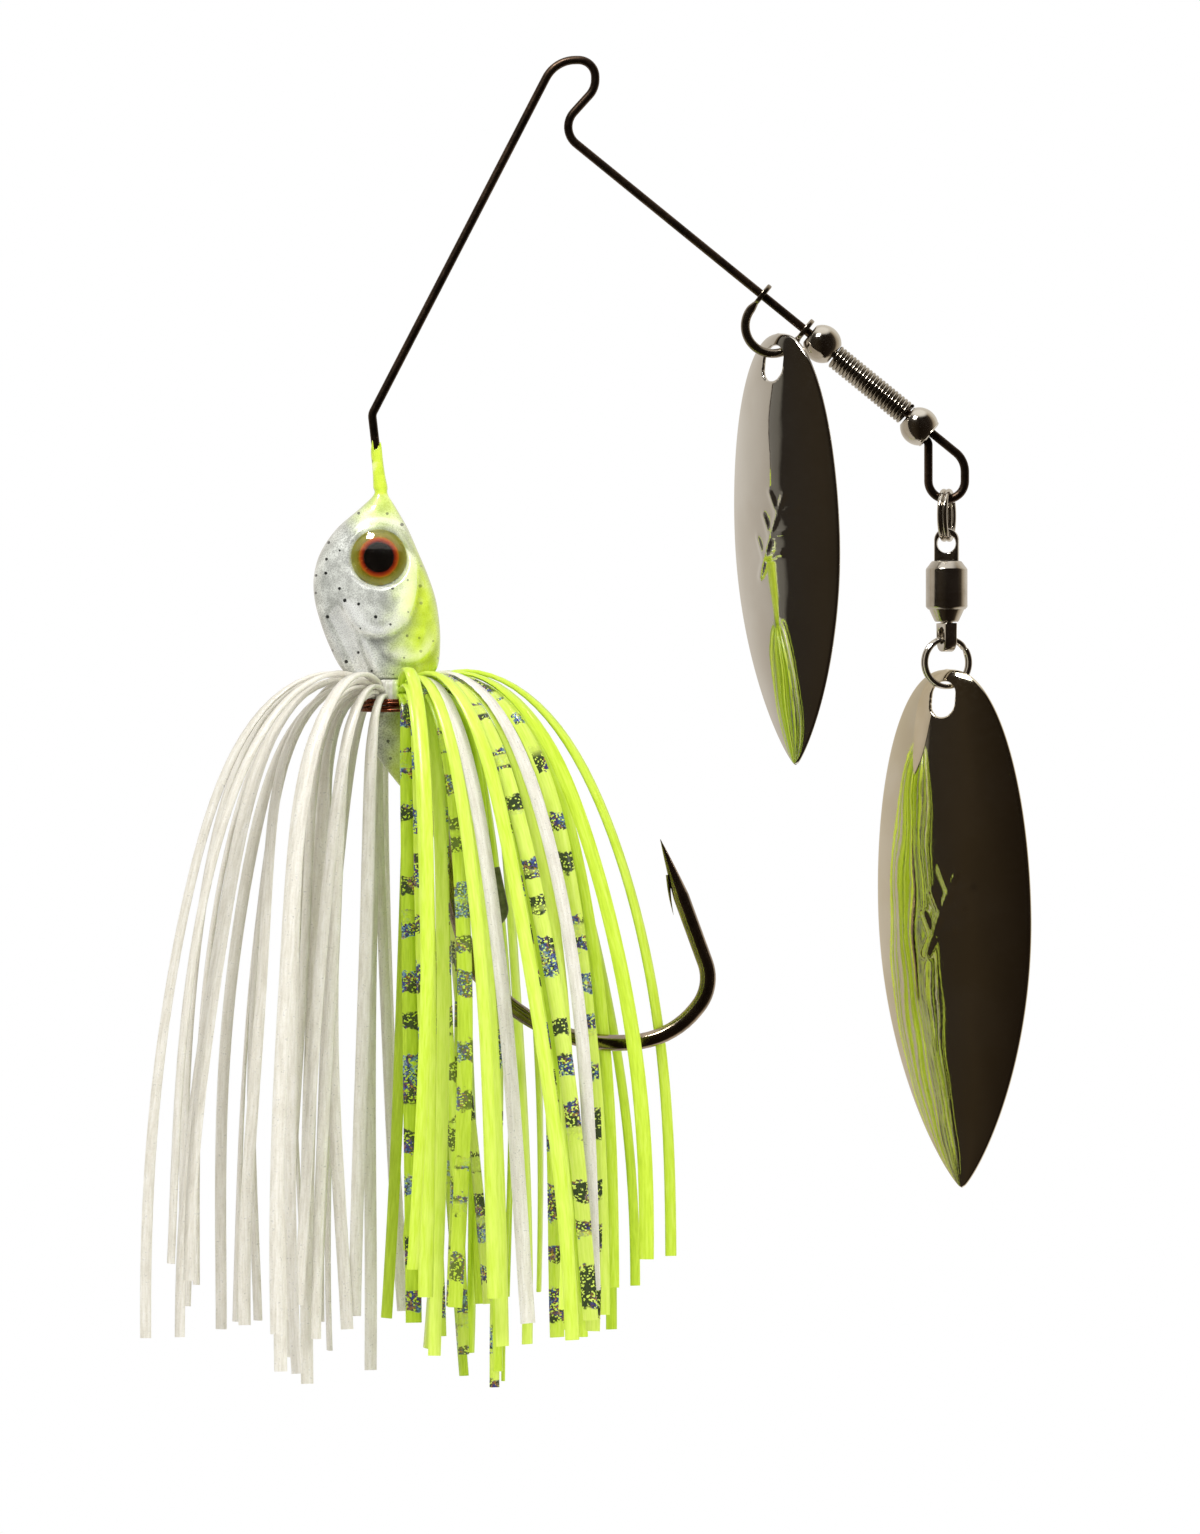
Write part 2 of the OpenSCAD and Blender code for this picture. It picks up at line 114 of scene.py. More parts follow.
def piece(name, verts, faces, material, body, slot, replaces=(), uvs=None, extra=None, smooth=True, sharp=None):
    """One mesh object from mm coordinates, riding on a CAD body."""
    mesh = bpy.data.meshes.new(name)
    mesh.from_pydata((np.asarray(verts, float) * MM).tolist(), [], faces)
    mesh.update()
    if uvs is not None:
        layer = mesh.uv_layers.new(name="UVMap")
        idx = np.empty(len(mesh.loops), int)
        mesh.loops.foreach_get("vertex_index", idx)
        layer.data.foreach_set("uv", np.asarray(uvs, np.float32)[idx].ravel())
    for key, values in (extra or {}).items():
        attribute = mesh.attributes.new(key, "FLOAT", "POINT")
        attribute.data.foreach_set("value", np.asarray(values, np.float32))
    if smooth:
        mesh.polygons.foreach_set("use_smooth", [True] * len(mesh.polygons))
        if sharp:
            mesh.set_sharp_from_angle(angle=math.radians(sharp))
    mesh.materials.append(material)
    obj = linked(name, mesh)
    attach(obj, body)
    if replaces:
        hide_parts(*replaces)
    return obj


def merged(parts):
    """Joins (verts, faces) pairs into one."""
    verts, faces, base = [], [], 0
    for v, f in parts:
        verts.append(np.asarray(v, float))
        faces += [[i + base for i in face] for face in f]
        base += len(v)
    return np.vstack(verts), faces


def smoothstep(x, lo, hi):
    t = np.clip((x - lo) / (hi - lo), 0, 1)
    return t * t * (3 - 2 * t)


def turtle(steps, start, heading, step=0.25, min_turn=5):
    """Points along bending steps of (straight, radius, turn to the left) in the XZ plane."""
    x, z = start
    pts = [(x, z)]
    for run, radius, turn in steps:
        a = math.radians(heading)
        if run > 0:
            n = max(1, int(run / (step * 6)))
            for k in range(1, n + 1):
                pts.append((x + run * k / n * math.cos(a), z + run * k / n * math.sin(a)))
            x, z = pts[-1]
        if radius > 0 and turn:
            side = -1 if turn < 0 else 1
            cx, cz = x - side * radius * math.sin(a), z + side * radius * math.cos(a)
            n = max(4, int(abs(turn) / min_turn), int(radius * math.radians(abs(turn)) / step / 4))
            for k in range(1, n + 1):
                b = math.radians(heading + turn * k / n)
                pts.append((cx + side * radius * math.sin(b), cz - side * radius * math.cos(b)))
            x, z = pts[-1]
            heading += turn
    return np.array(pts), heading


def frames(path, up=(0, 1, 0)):
    """Tangents and two cross directions along a 3-D path, carried along without twist."""
    path = np.asarray(path, float)
    t = np.gradient(path, axis=0)
    t /= np.linalg.norm(t, axis=1)[:, None]
    a = np.empty_like(t)
    ref = np.asarray(up, float)
    for i in range(len(t)):
        ref = ref - t[i] * ref.dot(t[i])
        ref /= np.linalg.norm(ref)
        a[i] = ref
    return t, a, np.cross(t, a)


def bands(rows, sides):
    """Quads between each ring of a closed section and the next ring."""
    return [[i * sides + k, i * sides + (k + 1) % sides, (i + 1) * sides + (k + 1) % sides, (i + 1) * sides + k]
            for i in range(rows) for k in range(sides)]


def squared(values, power):
    """Pushes a circle's cosines or sines towards a rounded square where power is under 1."""
    return np.copysign(np.abs(values) ** power, values)


def sweep(path, ra, rb=None, sides=16, up=(0, 1, 0), power=1.0, spin=0.0):
    """Tube with half-axes ra (along up) and rb round a path, turned by spin, with flat ends."""
    path = np.asarray(path, float)
    n = len(path)
    _, a, b = frames(path, up)
    ra, rb, spin = (np.broadcast_to(np.asarray(q, float), n)[:, None] for q in (ra, ra if rb is None else rb, spin))
    g = 2 * math.pi * np.arange(sides) / sides
    u, w = squared(np.cos(g), power) * ra, squared(np.sin(g), power) * rb
    along_a, along_b = u * np.cos(spin) - w * np.sin(spin), u * np.sin(spin) + w * np.cos(spin)
    verts = path[:, None] + a[:, None] * along_a[..., None] + b[:, None] * along_b[..., None]
    ends = [list(range(sides))[::-1], list(range((n - 1) * sides, n * sides))]
    return verts.reshape(-1, 3), bands(n - 1, sides) + ends


END_SHRINK = 0.35       # share of the radius that a rounded end loses


def end_rings(tip, outwards, r, rings):
    """Points and radii that round off one end of a tube, from its last full ring to its tip."""
    d = outwards / np.linalg.norm(outwards)
    bend = [k / rings * math.pi / 2 for k in range(rings + 1)]
    return ([(tip - d * r * END_SHRINK * (1 - math.sin(g))).tolist() for g in bend],
            [r * (1 - END_SHRINK + END_SHRINK * math.cos(g)) for g in bend])


def round_end(path, r, at_start=True, rings=3):
    """Path and radii with a few extra rings that round off the far end, and the near one too if asked."""
    path = np.asarray(path, float)
    r = np.broadcast_to(np.asarray(r, float), len(path))
    tip_p, tip_r = end_rings(path[-1], path[-1] - path[-2], r[-1], rings)
    out_p, out_r = path.tolist()[:-1] + tip_p, r.tolist()[:-1] + tip_r
    if at_start:
        tip_p, tip_r = end_rings(path[0], path[0] - path[1], r[0], rings)
        out_p, out_r = tip_p[::-1] + out_p[1:], tip_r[::-1] + out_r[1:]
    return np.array(out_p), np.array(out_r)


def lathe(profile, sides=48, place=None):
    """Turns a closed outline of (radius, height) points about Z."""
    n = len(profile)
    turn = [2 * math.pi * k / sides for k in range(sides)]
    verts = np.array([(r * math.cos(g), r * math.sin(g), h) for g in turn for r, h in profile])
    faces = []
    for k in range(sides):
        m = (k + 1) % sides
        for i in range(n):
            j = (i + 1) % n
            faces.append([k * n + i, m * n + i, m * n + j, k * n + j])
    return (verts if place is None else moved(verts, place)), faces


def rounded(points, radius, steps=3):
    """Rounds the corners of a closed outline."""
    pts = [np.array(p, float) for p in points]
    out = []
    for i, p in enumerate(pts):
        a, b = pts[i - 1], pts[(i + 1) % len(pts)]
        ua, ub = (a - p), (b - p)
        la, lb = np.linalg.norm(ua), np.linalg.norm(ub)
        r = min(radius, la * 0.45, lb * 0.45)
        pa, pb = p + ua / la * r, p + ub / lb * r
        for k in range(steps + 1):
            t = k / steps
            out.append(tuple((1 - t) ** 2 * pa + 2 * t * (1 - t) * p + t * t * pb))
    return out


def moved(verts, matrix):
    m = np.array(matrix)
    return np.asarray(verts, float) @ m[:3, :3].T + m[:3, 3]


def xz(points, y=0.0):
    points = np.asarray(points, float)
    return np.column_stack([points[:, 0], np.full(len(points), y), points[:, 1]])


ARM_START = turtle(TIE, TIE_FROM, 0)[0][-1]
ARM_D = np.array([math.cos(math.radians(ARM_SLOPE)), 0, -math.sin(math.radians(ARM_SLOPE))])
ARM_N = np.array([-ARM_D[2], 0, ARM_D[0]])


def arm_place(u, v=0.0):
    """Matrix whose Z runs down the blade arm and whose X stands up from it."""
    m = np.eye(4)
    m[:3, 0], m[:3, 1], m[:3, 2] = ARM_N, np.cross(ARM_D, ARM_N), ARM_D
    m[:3, 3] = np.array([ARM_START[0], 0, ARM_START[1]]) + ARM_D * u + ARM_N * v
    return m


# ---------- material tools
class Nodes:
    """A node tree with a few short ways to add nodes."""

    def __init__(self, tree):
        self.t = tree

    def node(self, kind, **inputs):
        """New node: i0, i1 ... feed its inputs by number, other keywords by name, props sets its properties."""
        n = self.t.nodes.new("ShaderNode" + kind)
        for key, value in inputs.pop("props", {}).items():
            setattr(n, key, value)
        for key, value in inputs.items():
            numbered = key[0] == "i" and key[1:].isdigit()
            self.feed(n.inputs[int(key[1:]) if numbered else key.replace("_", " ")], value)
        return n

    def feed(self, socket, value):
        if isinstance(value, bpy.types.NodeSocket):
            self.t.links.new(value, socket)
        else:
            socket.default_value = value

    def scaled(self, vec, scale):
        return self.node("Mapping", Vector=vec, Scale=scale).outputs[0]

    def coord(self, scale=(1, 1, 1)):
        """Object position in mm, scaled."""
        return self.scaled(self.node("TexCoord").outputs["Object"], tuple(c / MM for c in scale))

    def attribute(self, name):
        return self.node("Attribute", props=dict(attribute_name=name)).outputs["Fac"]

    def noise(self, vec, scale, detail=3.0, rough=0.5):
        return self.node("TexNoise", Vector=vec, Scale=scale, Detail=detail, Roughness=rough).outputs[0]

    def math(self, op, a, b=0.0, clamp=False):
        return self.node("Math", props=dict(operation=op, use_clamp=clamp), i0=a, i1=b).outputs[0]

    def mul(self, a, b, clamp=False):
        return self.math("MULTIPLY", a, b, clamp)

    def add(self, a, b):
        return self.math("ADD", a, b)

    def sub(self, a, b):
        return self.math("SUBTRACT", a, b)

    def wobble(self, fac, size):
        return self.mul(self.sub(fac, 0.5), size)

    def ramp(self, fac, stops):
        n = self.node("ValToRGB", Fac=fac)
        while len(n.color_ramp.elements) < len(stops):
            n.color_ramp.elements.new(0.5)
        for e, (pos, col) in zip(n.color_ramp.elements, stops):
            e.position, e.color = pos, (*col, 1)
        return n.outputs[0]

    def value_ramp(self, fac, lo, hi, to_lo=0.0, to_hi=1.0):
        return self.node("MapRange", props=dict(interpolation_type="SMOOTHSTEP"), Value=fac, i1=lo, i2=hi,
                         i3=to_lo, i4=to_hi).outputs[0]

    def mix(self, fac, a, b):
        a, b = ((*q, 1) if isinstance(q, tuple) else q for q in (a, b))
        return self.node("Mix", props=dict(data_type="RGBA"), i0=fac, i6=a, i7=b).outputs[2]

    def xyz(self, vec):
        return self.node("SeparateXYZ", Vector=vec).outputs


class Mat(Nodes):
    """A material on the Principled shader."""

    def __init__(self, name, **sockets):
        self.m = bpy.data.materials.new(name)
        self.m.use_nodes = True
        super().__init__(self.m.node_tree)
        self.b = self.t.nodes["Principled BSDF"]
        self.set(**sockets)

    def bump(self, height, strength, distance):
        n = self.node("Bump", Height=height, Strength=strength, Distance=distance * MM)
        self.set(Normal=n.outputs[0])

    def set(self, **sockets):
        for key, value in sockets.items():
            self.feed(self.b.inputs[key.replace("_", " ")], value)


def metal(name, light, dark, rough=0.08, spread=0.06, grain=(1, 1, 1), bump=0.02, blotch=0.25):
    """Plated metal with slight colour drift, worn patches and fine scratches."""
    m = Mat(name, Metallic=1.0)
    c = m.coord()
    drift = m.noise(c, blotch, 3.0)
    m.set(Base_Color=m.mix(m.value_ramp(drift, 0.35, 0.65), light, dark))
    fine = m.noise(m.coord(grain), 2.2, 5.0, 0.65)
    m.set(Roughness=m.value_ramp(fine, 0.3, 0.75, rough, rough + spread))
    m.bump(fine, bump, 0.1)
    return m


NICKEL = metal("mat_nickel", (0.66, 0.62, 0.55), (0.54, 0.49, 0.42), 0.07, 0.1)
STEEL = metal("mat_bearing_steel", (0.78, 0.78, 0.78), (0.7, 0.7, 0.7), 0.05, 0.05)
WIRE = metal("mat_bronze_wire", (0.105, 0.068, 0.045), (0.06, 0.042, 0.03), 0.3, 0.15, (1, 1, 1), 0.06, 0.3)
HOOK_MAT = metal("mat_black_nickel", (0.42, 0.33, 0.25), (0.26, 0.21, 0.16), 0.09, 0.1, (3, 3, 0.5), 0.05, 0.4)
CLEVIS_MAT = metal("mat_clevis_nickel", (0.36, 0.31, 0.25), (0.24, 0.2, 0.15), 0.12, 0.12)
COPPER = metal("mat_tie_copper", (0.3, 0.09, 0.045), (0.14, 0.04, 0.02), 0.22, 0.15, (1, 1, 1), 0.02, 0.3)


# ---------- wire form
def wire_path():
    down, _ = turtle(LEADER, (0, 0), 0)
    leader = -down + np.array(TIE_FROM)
    arm, _ = turtle(TIE + ARM, TIE_FROM, 0)
    return np.vstack([leader[::-1], arm[1:]])


p, r = round_end(xz(wire_path()), WIRE_R, rings=2)
v, f = sweep(p, r, sides=20)
piece("wire_form", v, f, WIRE.m, "lure_frame", "bronze_wire", ["wire_frame"], sharp=50)


# ---------- hook
def hook_mesh():
    back = turtle([(SHANK_IN_HEAD, 0, 0)], HOOK_EXIT, HOOK_HEADING + 180)[0][::-1]
    pts, heading = turtle(HOOK, HOOK_EXIT, HOOK_HEADING)
    a = math.radians(heading)
    d = np.array([math.cos(a), math.sin(a)])
    body = np.vstack([back[:-1], pts])
    share = np.arange(1, 15) / 14
    spear = pts[-1] + d * SPEAR * share[:, None]
    spear_r = np.maximum(POINT_R, HOOK_R * (1 - share) ** 0.82)
    tube = sweep(xz(np.vstack([body, spear])), np.concatenate([np.full(len(body), HOOK_R), spear_r]), sides=24)
    # the barb: a thin sliver lifted from the inside of the spear
    inner = np.array([-d[1], d[0]])
    root, tip = pts[-1] + d * 2.6 + inner * 0.5, pts[-1] - d * 1.55 + inner * 1.42
    share = np.linspace(0, 1, 9)[:, None]
    middle = root * (1 - share) + tip * share + inner * BARB_BOW * np.sin(math.pi * share)
    left = 1 - share.ravel()
    barb = sweep(xz(middle), 0.42 * left ** 0.7 + 0.02, 0.26 * left + 0.015, sides=10)
    return merged([tube, barb])


v, f = hook_mesh()
piece("hook_forged", v, f, HOOK_MAT.m, "lure_frame", "black_nickel", ["hook"], sharp=60)

keeper_pts, _ = turtle(KEEPER, KEEPER_FROM, KEEPER_HEADING)
m = Mat("mat_keeper", Metallic=0.35, Roughness=0.42)
c = m.coord()
m.set(Base_Color=m.ramp(m.noise(c, 1.1, 4.0), [(0.3, (0.10, 0.105, 0.055)), (0.7, (0.25, 0.26, 0.15))]))
m.bump(m.noise(c, 6.0, 3.0), 0.2, 0.05)
p, r = round_end(xz(keeper_pts), 0.45, at_start=False)
v, f = sweep(p, r * 0.95, r, sides=16, power=0.8)
piece("keeper_clip", v, f, m.m, "lure_frame", "keeper_wire", ["trailer_keeper"], sharp=60)

# ---------- blades
LEAF_PEAK = 0.46
MARK_HEIGHT = 0.16
BLADE_CELL = 0.24
RIM = ((0.18, 0.09), (0.5, 0.13), (0.82, 0.09))      # share of the thickness, bulge


def leaf(u):
    """Half width of the leaf outline as a share of its widest, u from 0 at the hole to 1 at the tip."""
    u = np.asarray(u, float)
    a = np.clip(1 - ((LEAF_PEAK - u) / LEAF_PEAK) ** 2, 0, 1) ** 0.45
    b = np.clip(1 - ((u - LEAF_PEAK) / (1 - LEAF_PEAK)) ** 2, 0, 1) ** 0.83
    return np.where(u < LEAF_PEAK, a, b)


def ornament(x, z):
    """Height in mm of a pressed mark: a slanted stem with paired leaf veins."""
    h = np.zeros_like(x)
    strokes = [((-1.9, -4.2), (1.9, 4.2))]
    for step in (-0.55, 0.0, 0.55):
        root = (1.9 * step, 4.2 * step)
        strokes.append((root, (root[0] + 2.5, root[1] + 0.5)))
        strokes.append((root, (root[0] - 1.0, root[1] + 2.4)))
    for (ax, az), (bx, bz) in strokes:
        run = np.clip(((x - ax) * (bx - ax) + (z - az) * (bz - az)) / ((bx - ax) ** 2 + (bz - az) ** 2), 0, 1)
        away = np.hypot(x - ax - run * (bx - ax), z - az - run * (bz - az))
        h = np.maximum(h, np.exp(-(away / (0.34 - 0.16 * run)) ** 2))
    return MARK_HEIGHT * h


def blade_surface(b):
    """Flat leaf outline as a grid: its two parameters, its X and Z, and its numbers of rows and columns."""
    length, width = b["length"], b["width"]
    cols = int(width / BLADE_CELL) // 2 * 2
    rows = int(length / BLADE_CELL)
    # rows bunch up near both rounded ends
    s = np.linspace(0, 1, rows + 1)
    u = 0.55 * s + 0.45 * (1 - np.cos(math.pi * s)) / 2
    u = 0.0015 + 0.997 * u
    v = np.linspace(-1, 1, cols + 1)
    v = np.sign(v) * (np.abs(v) * 0.8 + 0.2 * np.sin(np.abs(v) * math.pi / 2))
    U, V = np.meshgrid(u, v, indexing="ij")
    half = leaf(U) * width / 2
    X, Z = V * half, -U * length
    return U, V, X, Z, rows, cols


def blade_height(b, X, Z):
    """Front surface of a blade over its flat outline, in mm towards -Y."""
    u = np.clip(-Z / b["length"], 0, 1)
    half = np.maximum(leaf(u) * b["width"] / 2, 1e-4)
    v = np.clip(X / half, -1, 1)
    cup = BLADE_CUP * (1 - v * v) * leaf(u) ** 1.3 * b["width"] / 16
    dent = 0.012 * (np.sin(X * 1.3 + Z * 0.37) + np.sin(Z * 0.83 - X * 0.6 + 1.7))
    mark = ornament(X * 0.95, Z + 0.47 * b["length"])
    return cup + dent * (1 - v ** 4) + mark


def blade_mesh(b):
    """Front, back and rounded rim of a blade, with its hole cut out."""
    U, V, X, Z, rows, cols = blade_surface(b)
    n = cols + 1
    hole_r = HOLE_W / 2
    z_top, z_low = -(HOLE_DROP + hole_r), -(HOLE_DROP + HOLE_TALL - hole_r)
    x, z = X.ravel().copy(), Z.ravel().copy()

    def gap(px, pz):
        """Distance from the hole's middle line, and the height of the nearest point on it."""
        zc = np.clip(pz, z_low, z_top)
        return np.hypot(px, pz - zc), zc

    def edges_of(q):
        return [(a, c, (min(a, c), max(a, c))) for a, c in zip(q, np.roll(q, -1))]

    quads = np.array([(i * n + j, (i + 1) * n + j, (i + 1) * n + j + 1, i * n + j + 1)
                      for i in range(rows) for j in range(cols)])
    dist, zc = gap(x, z)
    quads = quads[gap(x[quads].mean(1), z[quads].mean(1))[0] > hole_r]
    # snap the hole's stair-step border onto its true outline
    edges = {}
    for q in quads:
        for _, _, key in edges_of(q):
            edges[key] = edges.get(key, 0) + 1
    border = {a for e, k in edges.items() if k == 1 for a in e}
    inner = [i for i in border if abs(dist[i] - hole_r) < 0.6 and dist[i] < hole_r + 0.5
             and abs(V.ravel()[i]) < 0.97 and 0 < U.ravel()[i] < 0.5 and -z[i] > 0.4]
    for i in inner:
        k = hole_r / dist[i]
        x[i], z[i] = x[i] * k, zc[i] + (z[i] - zc[i]) * k
    # even out the ring of cells round the hole
    near = np.where((dist < hole_r + 1.3) & ~np.isin(np.arange(len(x)), inner))[0]
    near = [i for i in near if 0 < i % n < cols and 0 < i // n < rows]
    links = {}
    for a, c in edges:
        links.setdefault(a, []).append(c)
        links.setdefault(c, []).append(a)
    for _ in range(12):
        for i in near:
            if i in links and len(links[i]) >= 4:
                x[i] = 0.5 * x[i] + 0.5 * np.mean(x[links[i]])
                z[i] = 0.5 * z[i] + 0.5 * np.mean(z[links[i]])
    h = blade_height(b, x, z)
    front, back = np.column_stack([x, -h, z]), np.column_stack([x, -h + BLADE_T, z])
    used, rim = sorted({i for q in quads for i in q}), sorted(border)
    at, at_rim = ({i: k for k, i in enumerate(group)} for group in (used, rim))
    # rim points bulge away from the middles of the cells beside them
    beside = {i: [] for i in rim}
    for q in quads:
        for a in q:
            if a in border:
                beside[a].append((x[q].mean(), z[q].mean()))
    points = [front[used], back[used]]
    for level, bulge in RIM:
        for i in rim:
            away = np.array([x[i], z[i]]) - np.mean(beside[i], axis=0)
            away /= max(np.linalg.norm(away), 1e-6)
            points.append([front[i] * (1 - level) + back[i] * level + np.array([away[0], 0, away[1]]) * bulge])

    def chain(a):
        """Front point, rim points and back point above one border vertex."""
        return [at[a]] + [2 * len(used) + k * len(rim) + at_rim[a] for k in range(len(RIM))] + [len(used) + at[a]]

    faces = [[at[a] for a in q] for q in quads] + [[len(used) + at[a] for a in q[::-1]] for q in quads]
    for q in quads:
        for a, c, key in edges_of(q):
            if edges[key] == 1:
                up, down = chain(a), chain(c)
                faces += [[down[k], up[k], up[k + 1], down[k + 1]] for k in range(len(RIM) + 1)]
    return np.vstack(points), faces


def blade_place(b):
    return (Matrix.Translation((b["top"][0], 0, b["top"][1])) @ Matrix.Rotation(math.radians(-b["lean"]), 4, "Y")
            @ Matrix.Rotation(math.radians(b["yaw"]), 4, "Z") @ Matrix.Translation((0, b["offset"], 0)))


def blade_material(name, light, dark):
    m = Mat(name, Metallic=1.0, Coat_Weight=0.15, Coat_Roughness=0.03)
    c = m.coord()
    drift = m.noise(c, 0.12, 3.0)
    m.set(Base_Color=m.mix(m.value_ramp(drift, 0.35, 0.65), light, dark))
    speck = m.noise(c, 1.6, 6.0, 0.7)
    m.set(Roughness=m.value_ramp(speck, 0.35, 0.8, 0.035, 0.11))
    peel = m.noise(c, 0.9, 2.0, 0.4)
    m.bump(m.add(m.mul(speck, 0.15), peel), 0.05, 0.1)
    return m


BLADE_MATS = {"small": blade_material("mat_blade_nickel", (0.74, 0.71, 0.66), (0.68, 0.64, 0.58)),
              "large": blade_material("mat_blade_warm", (0.8, 0.73, 0.6), (0.74, 0.66, 0.5))}
for key, b in BLADES.items():
    v, f = blade_mesh(b)
    piece(f"leaf_blade_{key}", moved(v, blade_place(b)), f, BLADE_MATS[key].m, b["body"], b["slot"], [b["node"]],
          sharp=50)


# ---------- beads, spacer, clevis
def bead_profile(mouth):
    """Half section of a hollow bead; the mouth is the bore's wide end, which takes the tucked wire."""
    half = math.sqrt(BEAD_R ** 2 - BEAD_BORE_R ** 2)
    a0 = math.atan2(half, BEAD_BORE_R)
    outer = [(BEAD_R * math.cos(a), BEAD_R * math.sin(a)) for a in np.linspace(-a0, a0, 25)]
    inner = [(BEAD_BORE_R - 0.02, half - 0.12), (BEAD_BORE_R - 0.02, -half + 0.12)]
    if mouth:
        outer = [q for q in outer if q[1] < 1.52]
        inner = [(1.62, 1.35), (BEAD_BORE_R - 0.02, 0.62), (BEAD_BORE_R - 0.02, -half + 0.12)]
    return outer + inner


for name, body, node, along, off, mouth in (
        ("bead_top_ball", "upper_bead", "bead_upper", BEAD_UPPER_AT, 0, False),
        ("bead_low_ball", "lower_bead", "bead_lower", BEAD_LOWER_AT, -TUCK_OFFSET, True)):
    v, f = lathe(bead_profile(mouth), 64, arm_place(along, off))
    piece(name, v, f, NICKEL.m, body, "nickel", [node], sharp=40)


def helix(radius, wire_r, pitch, turns, per_turn=28):
    """Round-wire coil about Z from z = 0."""
    t = np.arange(turns * per_turn + 1) / per_turn
    g = 2 * math.pi * t
    p, r = round_end(np.column_stack([radius * np.cos(g), radius * np.sin(g), pitch * t]), wire_r, rings=2)
    return sweep(p, r, sides=10, up=(0, 0, 1))


seat = math.sqrt(BEAD_R ** 2 - SPACER_R ** 2) + SPACER_WIRE_R + SPACER_PLAY
spacer_len = BEAD_LOWER_AT - BEAD_UPPER_AT - 2 * seat
SPRING_MAT = metal("mat_spring_nickel", (0.5, 0.46, 0.4), (0.38, 0.34, 0.28), 0.1, 0.1)
v, f = helix(SPACER_R - SPACER_WIRE_R, SPACER_WIRE_R, spacer_len / SPACER_TURNS, SPACER_TURNS)
v = moved(v, arm_place(BEAD_UPPER_AT + seat, -TUCK_OFFSET / 2))
piece("spacer_coil", v, f, SPRING_MAT.m, "spacer", "nickel", ["spacer_spring"])


def clevis_mesh():
    """Bent wire stirrup whose flattened ends close into two eyelets round the arm."""
    r = CLEVIS_GAP / 2
    leg = [CLEVIS_EYE + (CLEVIS_LEG - CLEVIS_EYE) * k / 5 for k in range(6)]
    path = [(-r, -down) for down in leg]
    for k in range(1, 32):
        g = math.pi + math.pi * k / 32
        path.append((r * math.cos(g), -CLEVIS_LEG + r * math.sin(g)))
    path = np.array(path + [(r, -down) for down in leg[::-1]])
    n = len(path)
    i = np.arange(n)
    flat = np.clip(1 - np.minimum(i, n - 1 - i) / 5.5, 0, 1) ** 1.2
    across = CLEVIS_WIRE_R * (1 + 0.75 * flat)
    thick = CLEVIS_WIRE_R * (1 - 0.46 * flat)
    # in the arm's frame: its X stands up from the arm and its Z runs along it
    parts = [sweep(np.column_stack([path[:, 1], np.zeros(n), path[:, 0] + r]), across, thick, sides=18)]
    for along in (0, CLEVIS_GAP):
        v_, f_ = lathe(rounded([(0.62, -0.25), (1.35, -0.25), (1.35, 0.25), (0.62, 0.25)], 0.14), 40)
        parts.append((v_ + np.array([0, 0, along]), f_))
    v_, f_ = merged(parts)
    return moved(v_, arm_place(CLEVIS_AT)), f_


v, f = clevis_mesh()
piece("clevis_stirrup", v, f, CLEVIS_MAT.m, "clevis_body", "black_nickel", ["clevis"], sharp=60)


# ---------- split rings and swivel
def chain_place(yaw, z=0):
    return Matrix.Translation((CHAIN_X, 0, z)) @ Matrix.Rotation(math.radians(yaw), 4, "Z")


def split_ring_mesh(yaw, z):
    """Two turns of flattened wire side by side, with the jog where one turn steps over to the other."""
    t = np.linspace(0, 2, 133)
    g = 2 * math.pi * t + math.radians(35)
    side = RING_STEP * (smoothstep(t, 0.95, 1.05) - 0.5)
    path = np.column_stack([side, RING_R * np.cos(g), RING_R * np.sin(g)])
    p, r = round_end(path, RING_WIRE_R - RING_PLAY, rings=2)
    v_, f_ = sweep(p, r, r * 0.96, sides=14, up=(1, 0, 0), power=0.92)
    return moved(v_, chain_place(yaw, z)), f_


for name, node, body, yaw, z in (("split_ring_top", "ring_upper", "upper_ring", -13, RING_UPPER_Z),
                                 ("split_ring_low", "ring_lower", "lower_ring", -68, RING_LOWER_Z)):
    v, f = split_ring_mesh(yaw, z)
    piece(name, v, f, NICKEL.m, body, "nickel", [node])


def strap_mesh(w, t, low, high, round_up, hole_z, hole_r, yaw):
    """Flat strap with a round end and a drilled hole; its edges are softened."""
    end_z, far, bulge = (high - w / 2, low, w / 2) if round_up else (low + w / 2, high, -w / 2)
    arc, steps = [math.pi * k / 40 for k in range(41)], 8
    outline = [(w / 2 * math.cos(g), end_z + bulge * math.sin(g)) for g in arc]
    outline += [(-w / 2, end_z + (far - end_z) * k / steps) for k in range(1, steps + 1)]
    outline += [(-w / 2 + w * k / steps, far) for k in range(1, steps)]
    outline += [(w / 2, far + (end_z - far) * k / steps) for k in range(steps)]
    outline = np.array(outline)
    ang = np.arctan2(outline[:, 1] - hole_z, outline[:, 0])
    inner = np.column_stack([hole_r * np.cos(ang), hole_z + hole_r * np.sin(ang)])
    towards = inner - outline
    towards /= np.linalg.norm(towards, axis=1)[:, None]
    soft = 0.14
    corner = ((0.0, soft), (soft * 0.3, soft * 0.3), (soft, 0.0))      # inwards, away from the face
    near = [(outline + towards * d, e - t / 2) for d, e in corner]
    near += [(inner - towards * d, e - t / 2) for d, e in corner[::-1]]
    loops = near + [(q, -y) for q, y in near[::-1]]
    m, k_ = len(outline), len(loops)
    verts = np.vstack([np.column_stack([q[:, 0], np.full(m, y), q[:, 1]]) for q, y in loops])
    faces = []
    for i in range(k_):
        j = (i + 1) % k_
        for a in range(m):
            c = (a + 1) % m
            quad = [i * m + a, i * m + c, j * m + c, j * m + a]
            faces.append(quad if round_up else quad[::-1])
    return moved(verts, chain_place(yaw)), faces


